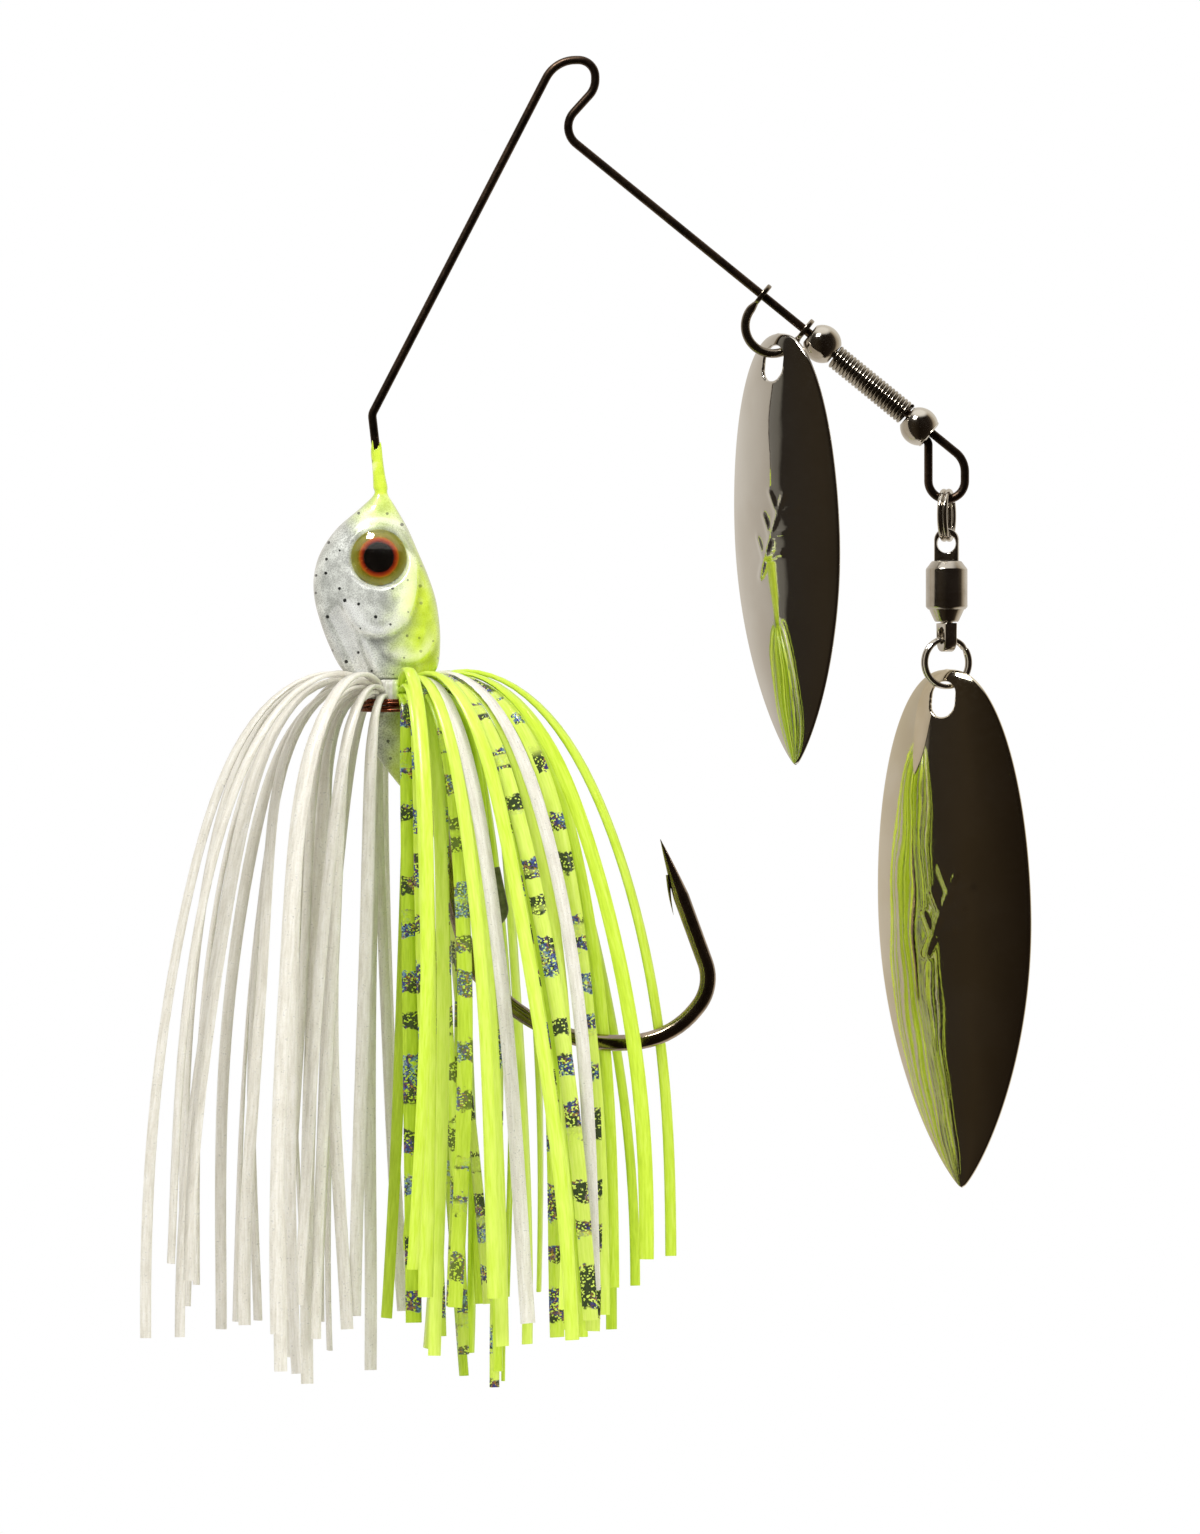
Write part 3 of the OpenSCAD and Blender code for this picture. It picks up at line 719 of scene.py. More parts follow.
def turned(profile, sides=56):
    return lathe(profile, sides, Matrix.Translation((CHAIN_X, 0, 0)))


BALL_TOP, BALL_LOW = -54.28, -55.02     # the ball row runs between these heights
upper_hole_z = RING_UPPER_Z - RING_R - 0.43
low_hole_z = -58.75
v, f = merged([
    strap_mesh(2.55, 1.2, BARREL_TOP - 0.18, upper_hole_z + 1.62, True, upper_hole_z, 0.99, -8),
    turned(rounded([(0.0001, BARREL_TOP - 0.3), (0.64, BARREL_TOP - 0.3), (0.64, BARREL_TOP - 1.12),
                    (1.1, BARREL_TOP - 1.12), (1.1, BARREL_TOP - 1.52), (0.0001, BARREL_TOP - 1.52)], 0.05))])
piece("swivel_eye_top", v, f, NICKEL.m, "swivel_body", "nickel", ["swivel_upper_eye"], sharp=50)

barrel = rounded([(1.3, BARREL_TOP), (1.55, BARREL_TOP), (BARREL_R, BARREL_TOP - 0.85),
                  (BARREL_R, BARREL_LOW + 0.28), (BARREL_R - 0.25, BARREL_LOW),
                  (BARREL_R - 0.35, BARREL_LOW), (BARREL_R - 0.35, BARREL_TOP - 1.1),
                  (0.68, BARREL_TOP - 1.1), (0.68, BARREL_TOP - 0.02)], 0.1, 4)
BARREL_MAT = metal("mat_barrel_nickel", (0.6, 0.56, 0.5), (0.5, 0.46, 0.4), 0.1, 0.12, (0.3, 0.3, 6), 0.06, 0.5)
piece("swivel_shell", *turned(barrel, 72), BARREL_MAT.m, "swivel_body", "nickel", ["swivel_barrel"], sharp=50)

cap = rounded([(0.72, BALL_LOW), (1.85, BALL_LOW), (1.85, BARREL_LOW), (1.3, CAP_LOW + 0.12), (1.2, CAP_LOW),
               (0.72, CAP_LOW)], 0.06, 3)
piece("swivel_end_cap", *turned(cap, 64), NICKEL.m, "swivel_body", "nickel", ["swivel_cap"], sharp=50)

stem = rounded([(0.0001, -53.68), (1.6, -53.68), (1.6, BALL_TOP), (0.65, BALL_TOP), (0.65, CAP_LOW - 0.3),
                (0.0001, CAP_LOW - 0.3)], 0.05)
v, f = merged([turned(stem), strap_mesh(2.5, 1.35, low_hole_z - 1.7, CAP_LOW - 0.12, False, low_hole_z, 0.88, -68)])
piece("swivel_eye_low", v, f, NICKEL.m, "swivel_rotor", "nickel", ["swivel_lower_eye"], sharp=50)

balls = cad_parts["bearing_balls"]
balls.data.polygons.foreach_set("use_smooth", [True] * len(balls.data.polygons))
balls.data.materials.clear()
balls.data.materials.append(STEEL.m)

# ---------- head
WIRE_KINK = (-21.638, -35.811)
WIRE_LEAN = 0.11463
SHADE_BLUR = 30
BELLY_X = -22.0
EYE_FLOOR = 2.98
EYE_R = 2.93


def wire_x(z):
    return WIRE_KINK[0] + (WIRE_KINK[1] - z) * WIRE_LEAN


def head_stations():
    """(height, left, right, half thickness) from the painted sleeve on the wire down to the keel's tip."""
    sleeve = [(z, wire_x(z) - r_, wire_x(z) + r_, r_) for z, r_ in
              ((-38.9, 0.50), (-39.3, 0.56), (-40.6, 0.6), (-42.0, 0.66), (-43.1, 0.76))]
    return sleeve + [
        (-43.9, -21.5, -20.0, 0.85), (-45.3, -22.9, -19.15, 1.6), (-47.5, -25.4, -17.9, 2.65),
        (-50, -27.1, -16.8, 3.5), (-52.5, -27.8, -15.75, 3.82), (-55, -27.72, -14.95, 3.9),
        (-57.7, -27, -14.55, 3.74), (-60, -26.1, -14.5, 3.5), (-61.8, -25.2, -14.7, 3.15),
        (-62.9, -24.2, -15.3, 2.75), (-63.3, -22.9, -16.2, 2.3), (-63.5, COLLAR_X - 1.8, COLLAR_X + 1.8, 1.8),
        (-66.7, COLLAR_X - 1.7, COLLAR_X + 1.7, 1.7), (-66.95, -21.3, -17.0, 1.62),
        (-67.6, -21.9, -15.8, 1.78), (-70, -21.75, -15.0, 1.78), (-72.2, -20.6, -14.5, 1.62),
        (-75, -18.4, -13.95, 1.38), (-76.8, -16.8, -13.7, 1.14), (-77.2, -16.2, -13.9, 0.9)]


def spline(table, s):
    """Catmull-Rom through the rows of a table at station s."""
    last = len(table) - 1
    i = min(int(s), last - 1)
    t = s - i
    a, b_, c, d = (np.array(table[k]) for k in (max(i - 1, 0), i, i + 1, min(i + 2, last)))
    return b_ + 0.5 * t * (c - a + t * (2 * a - 5 * b_ + 4 * c - d + t * (3 * (b_ - c) + d - a)))


def cheek_relief(x, z):
    """Pressed gill plates, brow and belly groove, in mm outwards from the smooth cheek."""
    def oval(cx, cz, rx, rz, tilt):
        a = math.radians(tilt)
        u = (x - cx) * math.cos(a) + (z - cz) * math.sin(a)
        w = -(x - cx) * math.sin(a) + (z - cz) * math.cos(a)
        return (np.hypot(u / rx, w / rz) - 1) * min(rx, rz), u, w
    d1, u1, w1 = oval(-21.3, -52.6, 4.5, 6.5, 8)
    lower = smoothstep(u1 * 0.8 - w1, -3.5, 2.0)
    h = 0.5 * lower * (1 - smoothstep(d1, -0.45, 0.2))
    d2, u2, w2 = oval(-18.6, -55.6, 4.0, 6.3, 14)
    right = smoothstep(u2 * 1.2 - w2 * 0.5, -3.0, 1.5)
    h += 0.45 * right * (1 - smoothstep(d2, -0.4, 0.25))
    rho = np.hypot(x - EYE[0], z - EYE[1])
    ang = np.degrees(np.arctan2(z - EYE[1], x - EYE[0]))
    brow = np.exp(-((rho - 4.0) / 0.5) ** 2) * smoothstep(ang, -40, 10) * (1 - smoothstep(ang, 110, 150))
    h += 0.28 * brow
    # belly groove and the crease above it
    ax, az, bx, bz = -25.6, -56.0, -22.3, -63.4
    t = np.clip(((x - ax) * (bx - ax) + (z - az) * (bz - az)) / ((bx - ax) ** 2 + (bz - az) ** 2), -0.1, 1.1)
    side = ((x - ax) * (bz - az) - (z - az) * (bx - ax)) / math.hypot(bx - ax, bz - az)
    fade = smoothstep(t, -0.1, 0.15)
    h -= 0.6 * fade * np.exp(-(side / 0.95) ** 2)
    h += 0.16 * fade * np.exp(-((side + 1.5) / 0.4) ** 2)
    return h


def head_mesh():
    """Painted head with its relief, eye sockets and ragged paint edge, and per vertex the painted shade for its
    creases and painted highlight for its ridges.
    """
    table = head_stations()
    steps, sides = 9, 112
    total = (len(table) - 1) * steps
    g = np.arange(sides) * 2 * math.pi / sides
    rows = np.array([spline(table, k / steps) for k in range(total + 1)])[:, :, None]
    height, left, right, half = (rows[:, k] for k in range(4))
    x = (left + right) / 2 + (right - left) / 2 * squared(np.cos(g), 0.92)
    y = -half * squared(np.sin(g), 0.86)
    z = np.repeat(height, sides, axis=1)
    tips = [np.column_stack([x[k], y[k], z[k]]).mean(0) for k in (0, -1)]
    on_cheek = smoothstep(-z, 44.5, 47) * (1 - smoothstep(-z, 62.2, 63.2))
    bulk = np.abs(y) / np.maximum(np.abs(y).max(1, keepdims=True), 1e-6)
    relief = cheek_relief(x, z) * on_cheek * smoothstep(bulk, 0.15, 0.75)
    y += np.sign(y) * relief
    soft = relief.copy()
    for _ in range(SHADE_BLUR):
        soft = (np.roll(soft, 1, 1) + np.roll(soft, -1, 1) + np.roll(soft, 1, 0) + np.roll(soft, -1, 0)) / 4
    # painted shade and highlight: how far the relief lies below or above its blur, which darkens the creases and
    # lightens the ridges in the paint
    painted_shade_and_highlight = (relief - soft) * on_cheek
    # on the belly side the grooves get painted highlight, not painted shade
    painted_shade_and_highlight = np.where(painted_shade_and_highlight * (x < BELLY_X) < 0, -painted_shade_and_highlight, painted_shade_and_highlight)
    # eye sockets
    rho = np.hypot(x - EYE[0], z - EYE[1])
    k = smoothstep(rho, 2.98, 3.45)
    lip = 0.16 * np.exp(-((rho - 3.4) / 0.22) ** 2)
    inside = (rho < 4.5) & (np.abs(y) > 1.4)
    y = np.where(inside, np.sign(y) * (np.abs(y) * k + EYE_FLOOR * (1 - k) + lip), y)
    # ragged top of the paint on the wire
    rag = 0.35 * np.sin(3 * g + 0.6) + 0.25 * np.sin(5 * g + 2.0) + 0.15 * np.sin(9 * g)
    top = 1 - smoothstep(-z, 39.0, 41.0)
    z = z + top * rag[None, :]
    verts = np.column_stack([x.ravel(), y.ravel(), z.ravel()])
    faces = bands(total, sides)
    top_c, low_c = len(verts), len(verts) + 1
    verts = np.vstack([verts, tips[0], tips[1] - np.array([0, 0, 0.1])])
    for j in range(sides):
        m = (j + 1) % sides
        faces.append([top_c, m, j])
        faces.append([low_c, total * sides + j, total * sides + m])
    return verts, [q[::-1] for q in faces], np.concatenate([painted_shade_and_highlight.ravel(), [0, 0]])


def head_material():
    m = Mat("mat_head_paint", Coat_Weight=1.0, Coat_Roughness=0.04, Roughness=0.32)
    c = m.coord()
    x, y, z = m.xyz(c)
    wob = m.wobble(m.noise(c, 0.35, 3.0), 3.2)
    # chartreuse back, pearl belly: the border runs down past the eye and the gill plate
    slant = m.mul(m.add(z, 55.0), -0.07)
    along = m.add(m.add(x, wob), slant)
    back = m.value_ramp(along, -20.4, -16.2)
    upper = m.mul(m.value_ramp(m.add(z, m.mul(wob, 0.5)), -49.5, -44.6), 0.8)
    sleeve = m.value_ramp(z, -45.2, -43.6)
    left = m.value_ramp(along, -25.5, -21.5)
    crown = m.mul(upper, left)
    yellow = m.math("MAXIMUM", m.math("MAXIMUM", back, crown), sleeve, clamp=True)
    mica = m.noise(c, 6.0, 2.0, 0.6)
    cloud = m.noise(c, 0.55, 3.0, 0.55)
    pearl = m.ramp(m.add(m.mul(mica, 0.3), m.mul(cloud, 0.7)),
                   [(0.36, (0.40, 0.41, 0.375)), (0.5, (0.56, 0.575, 0.53)), (0.62, (0.80, 0.82, 0.76))])
    lime = m.ramp(cloud, [(0.3, (0.46, 0.60, 0.03)), (0.6, (0.64, 0.80, 0.06)), (0.78, (0.84, 0.92, 0.34))])
    tint = m.mix(yellow, pearl, lime)
    painted_shade_and_highlight = m.attribute("painted_shade_and_highlight")
    # painted shade darkens the paint in the creases, painted highlight lightens it on the ridges
    for reach, most, painted_light_pearl, painted_light_lime in ((-0.16, 0.75, (0.2, 0.21, 0.19), (0.3, 0.38, 0.02)),
                                           (0.14, 0.7, (0.94, 0.95, 0.92), (0.9, 0.96, 0.45))):
        tint = m.mix(m.value_ramp(painted_shade_and_highlight, 0.02, reach, 0.0, most), tint, m.mix(yellow, painted_light_pearl, painted_light_lime))
    # small dark specks sprayed over the pearl
    flat = m.node("CombineXYZ", i0=x, i1=z).outputs[0]
    cells = m.node("TexVoronoi", props=dict(feature="F1", voronoi_dimensions="2D"), Vector=flat,
                   Scale=0.62, Randomness=1.0)
    lot, size, _ = m.xyz(cells.outputs["Color"])
    reach = m.mul(m.math("GREATER_THAN", lot, 0.5), m.add(m.mul(size, 0.07), 0.06))
    dot = m.math("LESS_THAN", cells.outputs["Distance"], reach)
    thin = m.sub(1.0, m.mul(yellow, 0.55))
    dots = m.mul(dot, thin, clamp=True)
    m.set(Base_Color=m.mix(dots, tint, (0.02, 0.022, 0.02)))
    m.set(Metallic=m.mul(m.sub(1.0, yellow), 0.3))
    m.set(Roughness=m.value_ramp(mica, 0.3, 0.7, 0.18, 0.42))
    m.bump(m.add(m.mul(mica, 0.35), cloud), 0.12, 0.12)
    return m


HEAD_MAT = head_material()
v, f, head_shade_and_highlight = head_mesh()
piece("head_painted", v, f, HEAD_MAT.m, "lure_frame", "head_paint", ["head"], extra={"painted_shade_and_highlight": head_shade_and_highlight})


def eye_materials():
    foil = Mat("mat_eye_foil", Roughness=0.25, Metallic=0.25, Coat_Weight=0.5)
    x, _, z = foil.xyz(foil.coord())
    dx, dz = foil.sub(x, EYE[0]), foil.sub(z, EYE[1])
    rho = foil.math("SQRT", foil.add(foil.mul(dx, dx), foil.mul(dz, dz)))
    turn = foil.math("ARCTAN2", dz, dx)
    ray_at = foil.node("CombineXYZ", i0=foil.mul(turn, 2.2), i1=foil.mul(rho, 0.6)).outputs[0]
    rays = foil.noise(ray_at, 2.6, 4.0, 0.7)
    fac = foil.math("DIVIDE", foil.add(rho, foil.wobble(rays, 0.16)), 3.0)
    black = (0.004, 0.003, 0.003)
    ring = foil.ramp(fac, [(0.0, black), (0.485, black), (0.51, (0.22, 0.015, 0.004)), (0.6, (0.85, 0.09, 0.01)),
                           (0.665, (0.95, 0.3, 0.015)), (0.70, (0.45, 0.36, 0.02)), (0.84, (0.62, 0.60, 0.07)),
                           (0.97, (0.82, 0.84, 0.22))])
    zone = foil.mul(foil.value_ramp(rays, 0.56, 0.72), foil.value_ramp(rho, 1.5, 1.7))
    foil.set(Base_Color=foil.mix(foil.mul(zone, 0.75), ring, (0.95, 0.62, 0.08)))
    foil.bump(rays, 0.15, 0.05)
    lens = Mat("mat_eye_resin", Roughness=0.0, IOR=1.5, Transmission_Weight=1.0, Base_Color=(1, 0.99, 0.96, 1))
    smear = lens.noise(lens.coord(), 0.6, 2.0)
    lens.set(Roughness=lens.value_ramp(smear, 0.4, 0.7, 0.0, 0.02))
    return foil, lens


FOIL_MAT, LENS_MAT = eye_materials()


def dome_profile(radius, rise, low, n=14):
    big = (radius * radius + rise * rise) / (2 * rise)
    a0 = math.asin(radius / big)
    out = [(0.0001, low)] + [(radius * k / 6, low) for k in range(1, 7)]
    for k in range(n, -1, -1):
        a = a0 * k / n
        out.append((max(0.0001, big * math.sin(a)), low + rise - big * (1 - math.cos(a))))
    return out


for side, word in ((-1, "near"), (1, "far")):
    place = Matrix.Translation((EYE[0], side * EYE_FLOOR, EYE[1])) @ Matrix.Rotation(-side * math.pi / 2, 4, "X")
    v, f = lathe([(0.0001, 0.02), (EYE_R, 0.02), (EYE_R, 0.2), (0.0001, 0.2)], 64, place)
    piece(f"eye_print_{word}", v, f, FOIL_MAT.m, "lure_frame", "eye_foil", [f"eye_foil_{word}"], sharp=40)
    v, f = lathe(dome_profile(EYE_R, 0.95, 0.215), 64, place)
    piece(f"eye_lens_{word}", v, f, LENS_MAT.m, "lure_frame", "eye_resin", [f"eye_dome_{word}"], sharp=40)

# ---------- skirt
SIDES = 8
RINGS = 40
SKIRT_FLAT = 0.8                # depth of the skirt as a share of its width
BEND_OF_LAYER = (9.4, 7.8, 6.0, 4.2, 2.9)
RISE_OF_LAYER = (40, 36, 28, 18, 8)
SPLAY_OF_LAYER = (13, 10, 7.5, 5, 3)
HOOK_GAP = 14                   # degrees either side of the hook with fewer strands
TIE_WINDOW = (250, 281)         # degrees that are left open in front of the copper tie
PEARL_FROM, CHARTREUSE_TO = 98, 442
PEARLS, CHARTREUSES = 33, 40


def strand(phi, rise, bend, splay, length, z0, width, thick, twist=(0, 0), sway=0.0, drift=0.0):
    """One silicone strip: leaves the collar at side angle phi, arches over and hangs, splayed by some degrees."""
    s = length * (np.linspace(0, 1, RINGS + 1) ** 1.35)
    share = s / length
    hang = splay * (1 - smoothstep(share, 0.35, 1.05))
    theta = -90 + (rise + 90 - splay) * np.exp(-s / bend) + hang + drift * np.sin(2 * math.pi * share)
    mid_theta = np.radians((theta[1:] + theta[:-1]) / 2)
    ds = np.diff(s)
    rr = np.concatenate([[0], np.cumsum(ds * np.cos(mid_theta))]) + BUNDLE_R
    zz = np.concatenate([[0], np.cumsum(ds * np.sin(mid_theta))]) + z0
    a = math.radians(phi)
    out = np.array([math.cos(a), SKIRT_FLAT * math.sin(a), 0])
    side = np.array([-math.sin(a), math.cos(a), 0])
    off = np.array([0, BUNDLE_R * (1 - SKIRT_FLAT) * math.sin(a), 0])
    wave = sway * share ** 1.5
    path = off + rr[:, None] * out + wave[:, None] * side
    path[:, 0] += COLLAR_X
    path[:, 2] += zz
    spin = np.radians(twist[0] * smoothstep(share, 0.04, 0.3) + twist[1] * smoothstep(share, 0.35, 1.0))
    narrow = 0.6 + 0.4 * smoothstep(s, 0, 9)
    verts, faces = sweep(path, width / 2 * narrow, thick / 2, sides=SIDES, up=side, power=0.62, spin=spin)
    uv = [(math.cos(2 * math.pi * k / SIDES) * width / 2, at) for at in s for k in range(SIDES)]
    return verts, faces, uv


def skirt_groups():
    """All strands, by kind, as keyword sets for strand()."""
    rnd = random.Random(31)
    groups = {"pearl": [], "chartreuse": [], "flake": []}

    def add(kind, phi, layer, **kw):
        across = math.cos(math.radians(phi))
        spread = 0.75 if kind == "pearl" else 1.0
        usual = dict(
            width=rnd.uniform(0.8, 1.5) if kind == "pearl" else rnd.uniform(1.0, 1.7),
            thick=rnd.uniform(0.42, 0.55),
            twist=(80 * across * rnd.uniform(0.45, 1.0), rnd.uniform(-35, 35)),
            sway=rnd.uniform(-4.6, 4.6),
            drift=rnd.uniform(-3.5, 3.5),
            rise=RISE_OF_LAYER[layer] + rnd.uniform(-5, 5),
            bend=BEND_OF_LAYER[layer] * rnd.uniform(0.88, 1.1),
            splay=SPLAY_OF_LAYER[layer] * spread + rnd.uniform(-2.5, 2.5),
            length=77 + rnd.uniform(-5, 4) - 1.5 * layer)
        groups[kind].append({**usual, **kw, "phi": phi, "z0": -63.9 - 0.3 * layer})

    # pearl on the side away from the hook
    for i in range(PEARLS):
        phi = PEARL_FROM + (TIE_WINDOW[0] - PEARL_FROM) * i / (PEARLS - 1) + rnd.uniform(-1.5, 1.5)
        add("pearl", phi, (i * 2) % 5)
    # chartreuse, plain or with printed flake, on the hook side
    for i in range(CHARTREUSES):
        phi = TIE_WINDOW[1] + (CHARTREUSE_TO - TIE_WINDOW[1]) * i / (CHARTREUSES - 1) + rnd.uniform(-1.5, 1.5)
        phi %= 360
        if i % 2 and (phi < HOOK_GAP or phi > 360 - HOOK_GAP):
            continue
        kind = "flake" if i % 5 == 2 else "chartreuse"
        add(kind, phi, (i * 2) % 5)
    # strands seen in front: bright pearl ones over the chartreuse, and a flaked one beside the tie
    add("pearl", 297, 1, width=1.6, sway=4.0, twist=(12, 10), drift=2, length=76)
    add("pearl", 318, 0, width=1.4, sway=2.0, twist=(40, 20), drift=2, length=75)
    for phi, layer in ((297, 2), (309, 0), (326, 2), (338, 1)):
        add("flake", phi, layer, width=1.6)
    add("flake", 282, 4, bend=2.4, rise=2, splay=1, width=1.7, sway=0.5, twist=(6, 0), drift=0, length=67)
    return groups


def silicone(name, kind):
    m = Mat(name, Roughness=0.34, IOR=1.41, Transmission_Weight=0.2, Coat_Weight=0.4, Coat_Roughness=0.2)
    u, v_, _ = m.xyz(m.node("TexCoord").outputs["UV"])
    rndv = m.attribute("strand_id")
    strip = m.node("CombineXYZ", i0=u, i1=v_, i2=m.mul(rndv, 37.0)).outputs[0]
    streak = m.noise(m.scaled(strip, (5.0, 0.35, 1.0)), 1.0, 3.0, 0.6)
    grit = m.noise(strip, 7.0, 4.0, 0.75)
    if kind == "pearl":
        glint = m.noise(strip, 3.2, 5.0, 0.8)
        col = m.ramp(m.add(m.mul(streak, 0.55), m.mul(glint, 0.45)),
                     [(0.3, (0.60, 0.56, 0.47)), (0.5, (0.79, 0.76, 0.67)), (0.68, (0.95, 0.93, 0.88))])
        m.set(Base_Color=col, Metallic=m.value_ramp(glint, 0.5, 0.75, 0.0, 0.2))
        m.set(Roughness=m.value_ramp(glint, 0.35, 0.7, 0.42, 0.24))
        # painted glow: a faint emission stands in for light passing through the pearl silicone
        m.set(Emission_Color=(0.9, 0.87, 0.76, 1), Emission_Strength=0.04)
        m.bump(m.add(m.mul(grit, 0.5), glint), 0.35, 0.12)
        return m
    base = m.ramp(m.add(m.mul(streak, 0.6), m.mul(rndv, 0.4)),
                  [(0.25, (0.40, 0.58, 0.014)), (0.5, (0.60, 0.79, 0.05)), (0.75, (0.76, 0.90, 0.17))])
    if kind == "flake":
        stretch = m.noise(m.scaled(strip, (0.0, 0.12, 1.0)), 1.0, 2.0)
        shift = m.add(m.add(v_, m.mul(rndv, 9.0)), m.mul(stretch, 9.0))
        beat = m.math("FRACT", m.math("DIVIDE", shift, 5.6))
        wob = m.wobble(m.noise(strip, 1.3, 2.0), 0.35)
        edge = m.math("ABSOLUTE", m.sub(m.add(beat, wob), 0.5))
        block = m.sub(1.0, m.value_ramp(edge, 0.2, 0.25))
        cells = m.node("TexVoronoi", Vector=strip, Scale=6.4, Randomness=0.9)
        r_, g_, b_ = m.xyz(cells.outputs["Color"])
        inked = m.math("GREATER_THAN", r_, 0.2)
        faded = m.value_ramp(m.math("FRACT", m.mul(rndv, 7.3)), 0.0, 0.6, 0.35, 1.0)
        lost = m.value_ramp(m.noise(m.scaled(strip, (0.0, 0.3, 1.0)), 1.0, 1.0), 0.36, 0.42, 0.15, 1.0)
        mark = m.mul(m.mul(m.mul(block, inked), faded), lost, clamp=True)
        patch = m.noise(m.scaled(strip, (0.5, 0.16, 1.0)), 1.0, 2.0)
        holo = m.ramp(m.math("FRACT", m.add(m.mul(g_, 0.5), m.mul(patch, 3.0))),
                      [(0.0, (0.05, 0.10, 0.62)), (0.22, (0.32, 0.62, 0.9)), (0.42, (0.75, 0.82, 0.86)),
                       (0.62, (0.85, 0.42, 0.05)), (0.8, (0.16, 0.03, 0.3)), (1.0, (0.05, 0.10, 0.62))])
        shiny = m.mul(m.value_ramp(patch, 0.46, 0.52), m.value_ramp(b_, 0.2, 0.4))
        ink = m.mix(shiny, (0.03, 0.045, 0.03), holo)
        base = m.mix(mark, base, ink)
        m.set(Metallic=m.mul(m.mul(mark, shiny), 0.6))
        m.set(Roughness=m.value_ramp(mark, 0.0, 1.0, 0.36, 0.2))
    m.set(Base_Color=base)
    # painted glow: a faint emission stands in for light passing through the chartreuse silicone
    m.set(Emission_Color=(0.62, 0.8, 0.03, 1), Emission_Strength=0.03 if kind == "flake" else 0.07)
    m.bump(m.add(m.mul(grit, 0.4), streak), 0.15, 0.08)
    return m


for kind, kws in skirt_groups().items():
    parts, uvs, ids = [], [], []
    rnd = random.Random(5)
    for kw in kws:
        v, f, uv = strand(**kw)
        parts.append((v, f))
        uvs += uv
        ids += [rnd.random()] * len(v)
    v, f = merged(parts)
    mat = silicone(f"mat_silicone_{kind}", kind)
    piece(f"skirt_strands_{kind}", v, f, mat.m, "lure_frame", f"silicone_{kind}", [f"skirt_{kind}"], uvs=uvs,
          extra={"strand_id": ids}, sharp=60)

# pinched bundle under the tie: ribs are the squeezed strands
prof = [(1.73, -66.6), (2.9, -66.7), (3.12, -66.2), (3.2, -65.3), (3.3, -64.6), (3.25, -63.8), (2.9, -63.4),
        (1.73, -63.4)]
v, f = lathe(rounded(prof, 0.2, 2), 168, Matrix.Translation((COLLAR_X, 0, 0)))
g = np.arctan2(v[:, 1], v[:, 0] - COLLAR_X)
rad = np.hypot(v[:, 1], v[:, 0] - COLLAR_X)
k = 1 + 0.028 * np.where(rad > 2.5, np.cos(34 * g), 0)
v[:, 0], v[:, 1] = COLLAR_X + (v[:, 0] - COLLAR_X) * k, v[:, 1] * k
m = Mat("mat_skirt_core", Roughness=0.4, Coat_Weight=0.2)
c = m.coord()
n = m.noise(c, 1.8, 4.0)
m.set(Base_Color=m.mix(m.value_ramp(m.xyz(c)[0], -19.6, -18.6),
                       m.ramp(n, [(0.3, (0.5, 0.48, 0.42)), (0.7, (0.8, 0.79, 0.72))]),
                       m.ramp(n, [(0.3, (0.4, 0.6, 0.01)), (0.7, (0.62, 0.85, 0.03))])))
m.bump(n, 0.2, 0.1)
piece("skirt_pinch", v, f, m.m, "lure_frame", "skirt_core", ["skirt_collar"])

# copper tie: uneven wraps below the strand roots
turns, per_turn = 5, 48
t = np.arange(turns * per_turn + 1) / per_turn
g = 2 * math.pi * t
out = BUNDLE_R + 0.14 + 0.13 * np.sin(2.6 * t + 0.4) + 0.04 * np.sin(g * 1.37)
lift = 0.24 * t + 0.1 * np.sin(g + 1.1 * t) + 0.05 * np.sin(g * 2.3)
path = np.column_stack([COLLAR_X + out * np.cos(g), out * np.sin(g), TIE_WRAP_Z - 0.62 + lift])
p, r = round_end(path, TIE_WRAP_R, rings=2)
v, f = sweep(p, r, sides=12, up=(0, 0, 1))
piece("tie_wraps", v, f, COPPER.m, "lure_frame", "tie_copper", ["tie_wire"])

# ---------- studio
VIEW_X, VIEW_Z = 2.32, -72.58
VIEW_HEIGHT = 161.5
LENS = 200.0
SENSOR = 36.0
SOFT_LIGHT = 0.72
OVERHEAD = (1.1, 1.08, 1.04)
FLOOR_R, FLOOR_Z = 2.15, -0.35
# what mirrors see round the table instead of the room, by degrees from the camera side (+ to the right)
AROUND = [(-180, (0.82, 0.78, 0.72)), (-130, (0.66, 0.62, 0.56)), (-93, (0.50, 0.46, 0.40)),
          (-90, (0.19, 0.18, 0.16)), (-80, (0.15, 0.14, 0.12)), (-76, (0.03, 0.025, 0.02)),
          (-40, (0.035, 0.026, 0.016)), (0, (0.012, 0.008, 0.005)),
          (60, (0.02, 0.014, 0.01)), (84, (0.06, 0.045, 0.03)), (100, (0.5, 0.43, 0.33)), (130, (0.82, 0.78, 0.7)),
          (180, (0.82, 0.78, 0.72))]


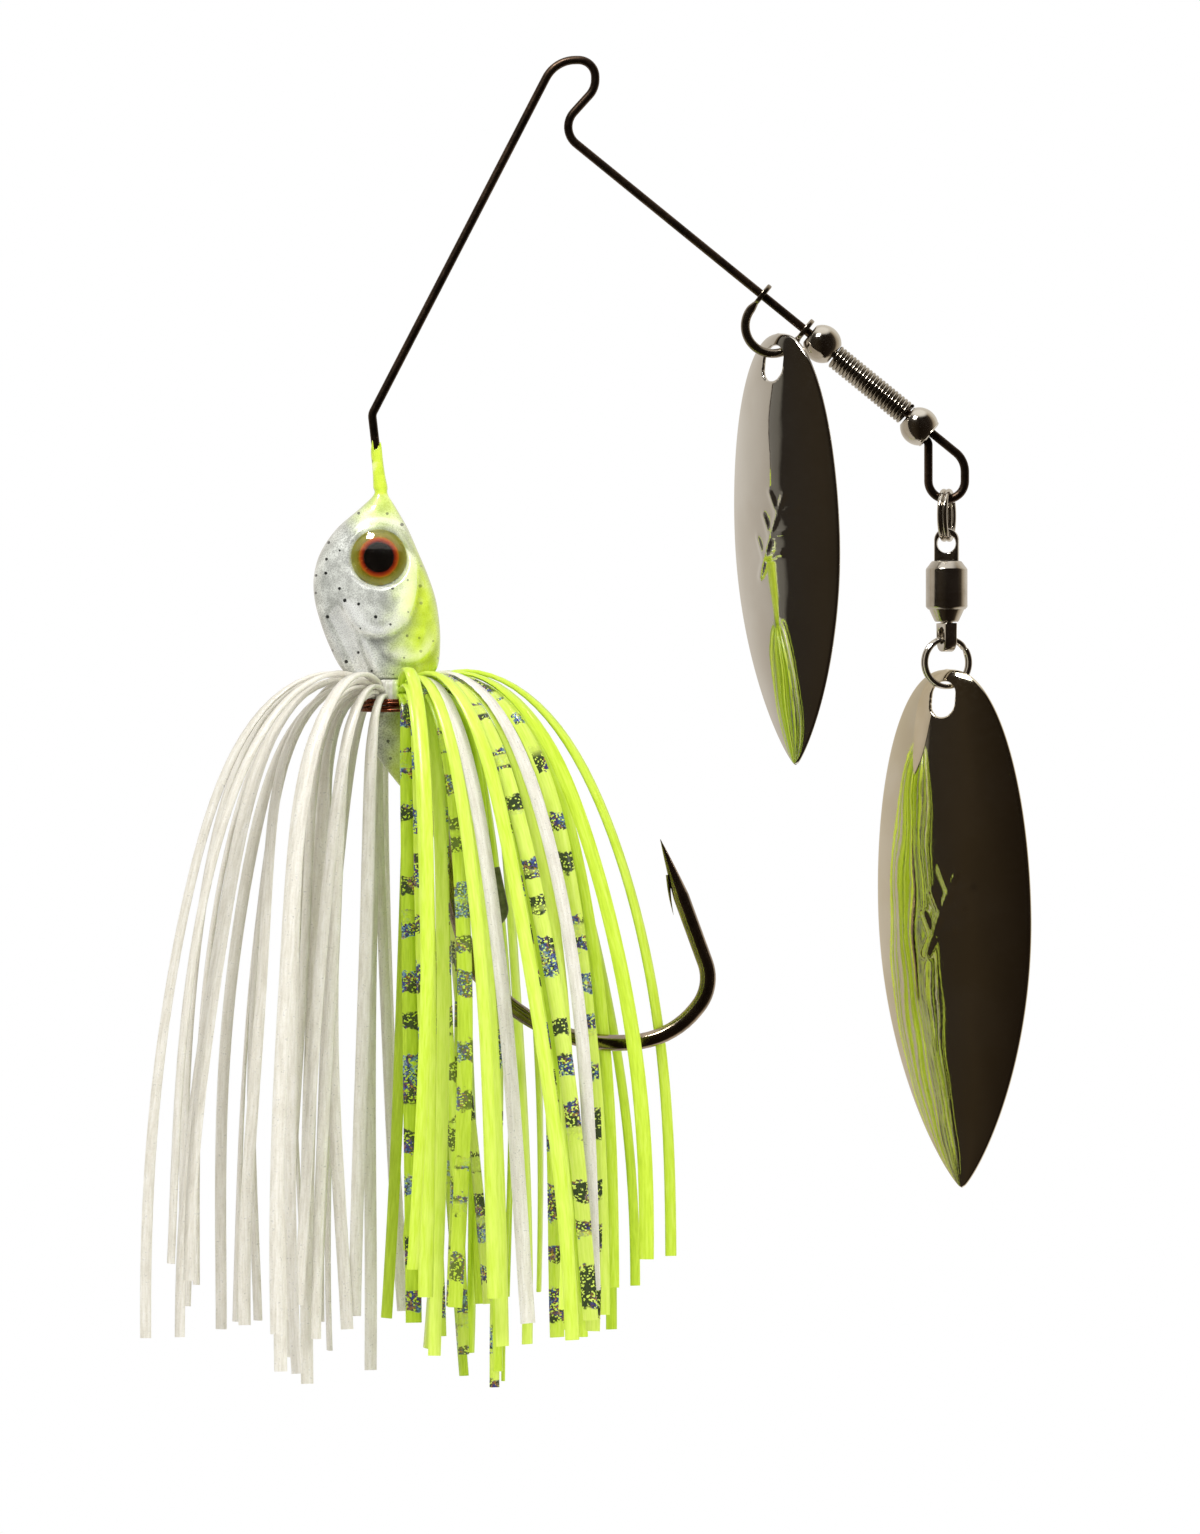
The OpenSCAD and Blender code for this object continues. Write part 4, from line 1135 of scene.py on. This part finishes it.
def studio():
    scene = bpy.context.scene
    scene.view_settings.view_transform = "Standard"
    scene.view_settings.look = "None"
    cam_data = bpy.data.cameras.new("camera")
    cam_data.lens = LENS
    cam_data.sensor_width = SENSOR
    cam = linked("camera", cam_data)
    cam.location = (VIEW_X * MM, -VIEW_HEIGHT * LENS / SENSOR * MM, VIEW_Z * MM)
    cam.rotation_euler = (math.radians(90), 0, 0)
    cam_data.clip_start, cam_data.clip_end = 0.05, 20
    scene.camera = cam

    floor_mesh = bpy.data.meshes.new("floor")
    rim = [2 * math.pi * k / 96 for k in range(96)]
    floor_mesh.from_pydata([(FLOOR_R * math.cos(g), FLOOR_R * math.sin(g), FLOOR_Z) for g in rim], [],
                           [list(range(len(rim)))])
    floor = linked("floor", floor_mesh)
    fm = Mat("mat_floor", Roughness=0.8)
    fn = fm.noise(fm.coord(), 0.02, 3.0)
    fm.set(Base_Color=fm.ramp(fn, [(0.3, (0.86, 0.86, 0.85)), (0.7, (0.9, 0.9, 0.89))]))
    floor.data.materials.append(fm.m)
    floor.visible_glossy = False

    world = bpy.data.worlds.new("studio")
    scene.world = world
    world.use_nodes = True
    w = Nodes(world.node_tree)
    w.t.nodes.clear()
    x, y, z = w.xyz(w.node("TexCoord").outputs["Generated"])
    # azimuth about the vertical, from the camera side
    turn = w.math("ARCTAN2", x, w.mul(y, -1.0))
    share = w.node("MapRange", Value=turn, From_Min=-math.pi, From_Max=math.pi).outputs[0]
    around = w.ramp(share, [(deg / 360 + 0.5, col) for deg, col in AROUND])
    surround = w.mix(w.value_ramp(z, 0.78, 0.96), around, OVERHEAD)
    mirror = w.node("Background", Color=surround)
    soft = w.node("Background", Color=(1, 0.99, 0.97, 1), Strength=SOFT_LIGHT)
    white = w.node("Background", Color=(1, 1, 1, 1))
    # mirrors see the surround, other surfaces a soft white, and the camera plain white
    rays = w.node("LightPath").outputs
    unseen = w.node("MixShader", i0=rays["Is Glossy Ray"], i1=soft.outputs[0], i2=mirror.outputs[0])
    mixed = w.node("MixShader", i0=rays["Is Camera Ray"], i1=unseen.outputs[0], i2=white.outputs[0])
    w.node("OutputWorld", Surface=mixed.outputs[0])

    target = Vector((0, 0, VIEW_Z * MM))
    for name, place, size, power in (("key", (-0.35, -0.5, 0.75), 0.28, 7.0),
                                     ("fill", (0.75, -0.6, 0.25), 0.22, 4.0),
                                     ("low", (0.1, -0.7, -0.75), 0.3, 3.0)):
        data = bpy.data.lights.new(name, "AREA")
        data.shape, data.size, data.energy = "SQUARE", size, power
        light = linked(name, data)
        light.visible_glossy = name == "key"        # only the key light shows in mirrors
        light.location = place
        light.rotation_euler = (target - Vector(place)).to_track_quat("-Z", "Y").to_euler()


studio()
